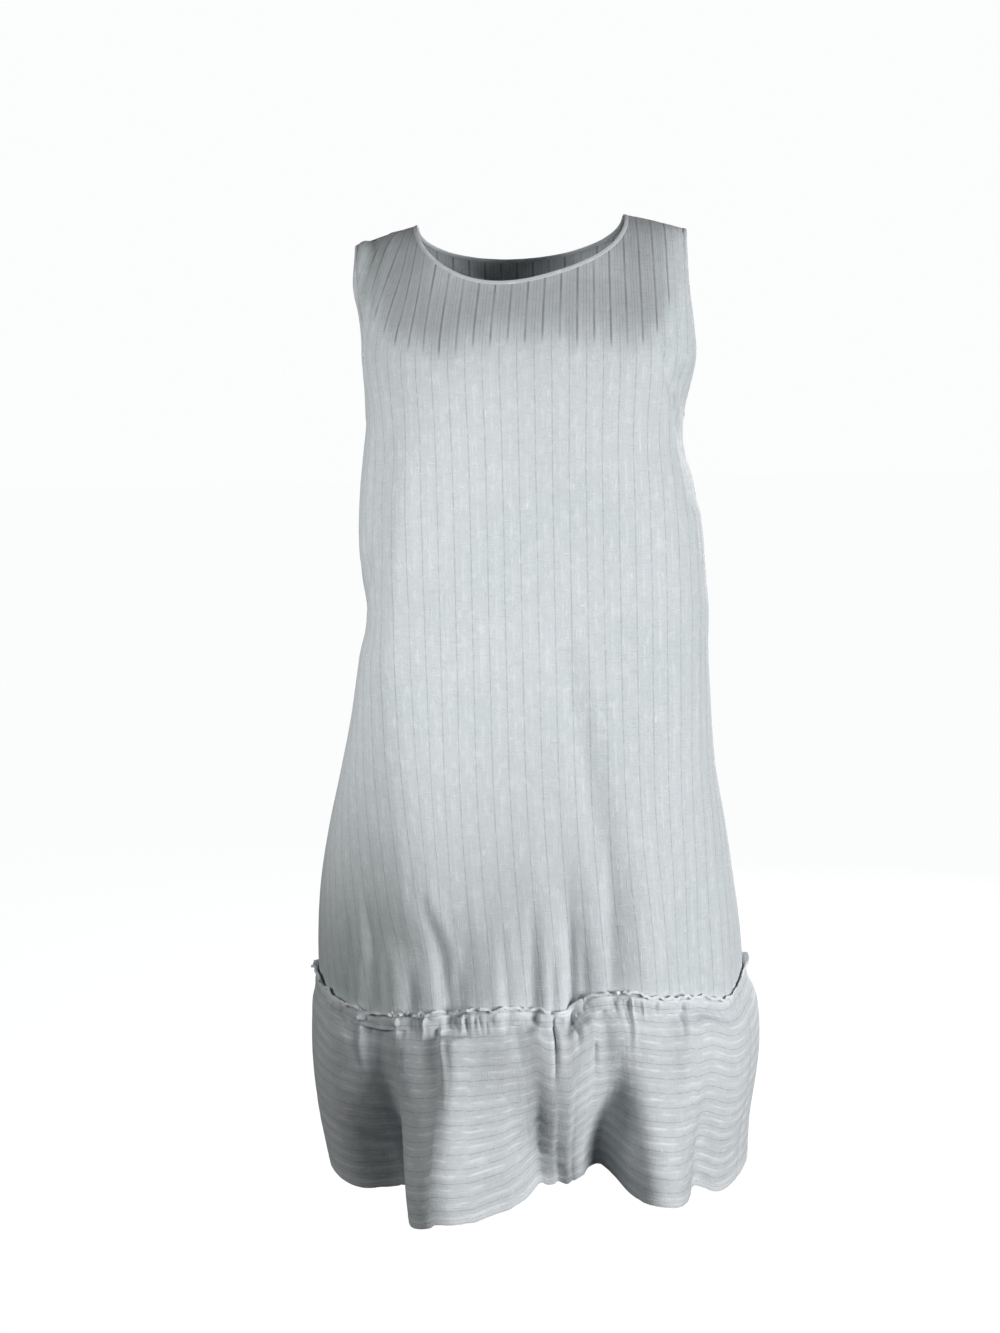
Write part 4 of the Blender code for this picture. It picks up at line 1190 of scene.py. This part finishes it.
out = nodes.new("ShaderNodeOutputWorld")
links.new(kind.outputs["Is Camera Ray"], mix.inputs[0])
links.new(soft.outputs[0], mix.inputs[1])
links.new(seen.outputs[0], mix.inputs[2])
links.new(mix.outputs[0], out.inputs[0])


def lamp(name, at, aim, size, power, colour, kind="AREA"):
    data = bpy.data.lights.new(name, kind)
    data.energy, data.color = power, colour
    if kind == "AREA":
        data.shape, data.size = "DISK", size
    else:
        data.shadow_soft_size = size
    thing = bpy.data.objects.new(name, data)
    bpy.context.scene.collection.objects.link(thing)
    back = np.array(at, float) - np.array(aim, float)
    back /= np.linalg.norm(back)
    side = np.cross([0, 0, 1], back)
    side /= np.linalg.norm(side)
    up = np.cross(back, side)
    thing.matrix_world = Matrix([(*r, c) for r, c in zip(np.stack([side, up, back], -1).tolist(), at)] + [(0, 0, 0, 1)])
    return thing


def around(azimuth, height, distance, aim):
    """A place round the dress: azimuth from the front, to the picture's right +."""
    a, e = np.radians(azimuth), np.radians(height)
    way = np.array([np.sin(a) * np.cos(e), -np.cos(a) * np.cos(e), np.sin(e)])
    return tuple((np.array(aim) + distance * way).tolist())


MIDDLE, SHOULDER = (0.0, 0.0, -0.5), (-0.14, -0.05, -0.33)
lamp("key", around(45, 5, 3.2, MIDDLE), MIDDLE, 1.2, 88, (1.0, 1.0, 1.0))
lamp("left", around(-75, 20, 3.2, MIDDLE), MIDDLE, 1.2, 28, (1.0, 0.995, 0.98))
lamp("back", around(160, 14, 3.4, MIDDLE), MIDDLE, 2.0, 120, (1.0, 1.0, 1.0))
spot = lamp("shoulder", around(-48, 8, 3.0, SHOULDER), SHOULDER, 0.06, 178, (1.0, 1.0, 1.0), "SPOT")
spot.data.spot_size, spot.data.spot_blend = np.radians(14.5), 1.0

camera_data = bpy.data.cameras.new("camera")
camera_data.sensor_fit, camera_data.sensor_width = "AUTO", 36
camera_data.lens = 36 * 2264 / 1333
camera_data.clip_end = 200
camera = bpy.data.objects.new("camera", camera_data)
bpy.context.scene.collection.objects.link(camera)
pitch, roll = np.radians(6.89), np.radians(1.2)
forward = np.array([0, np.cos(pitch), -np.sin(pitch)])
up, right = np.array([0, np.sin(pitch), np.cos(pitch)]), np.array([1.0, 0, 0])
right, up = right * np.cos(roll) - up * np.sin(roll), right * np.sin(roll) + up * np.cos(roll)
camera.matrix_world = Matrix(
    [(*r, c) for r, c in zip(np.stack([right, up, -forward], -1).tolist(), (-0.0288, -2.17, -0.164))] + [(0, 0, 0, 1)]
)
bpy.context.scene.camera = camera

bpy.context.scene.view_settings.view_transform = "Standard"
bpy.context.scene.view_settings.look = "None"

low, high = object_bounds()
{"cad": [*CAD_LOW, *CAD_HIGH], "visual": [*low, *high]}
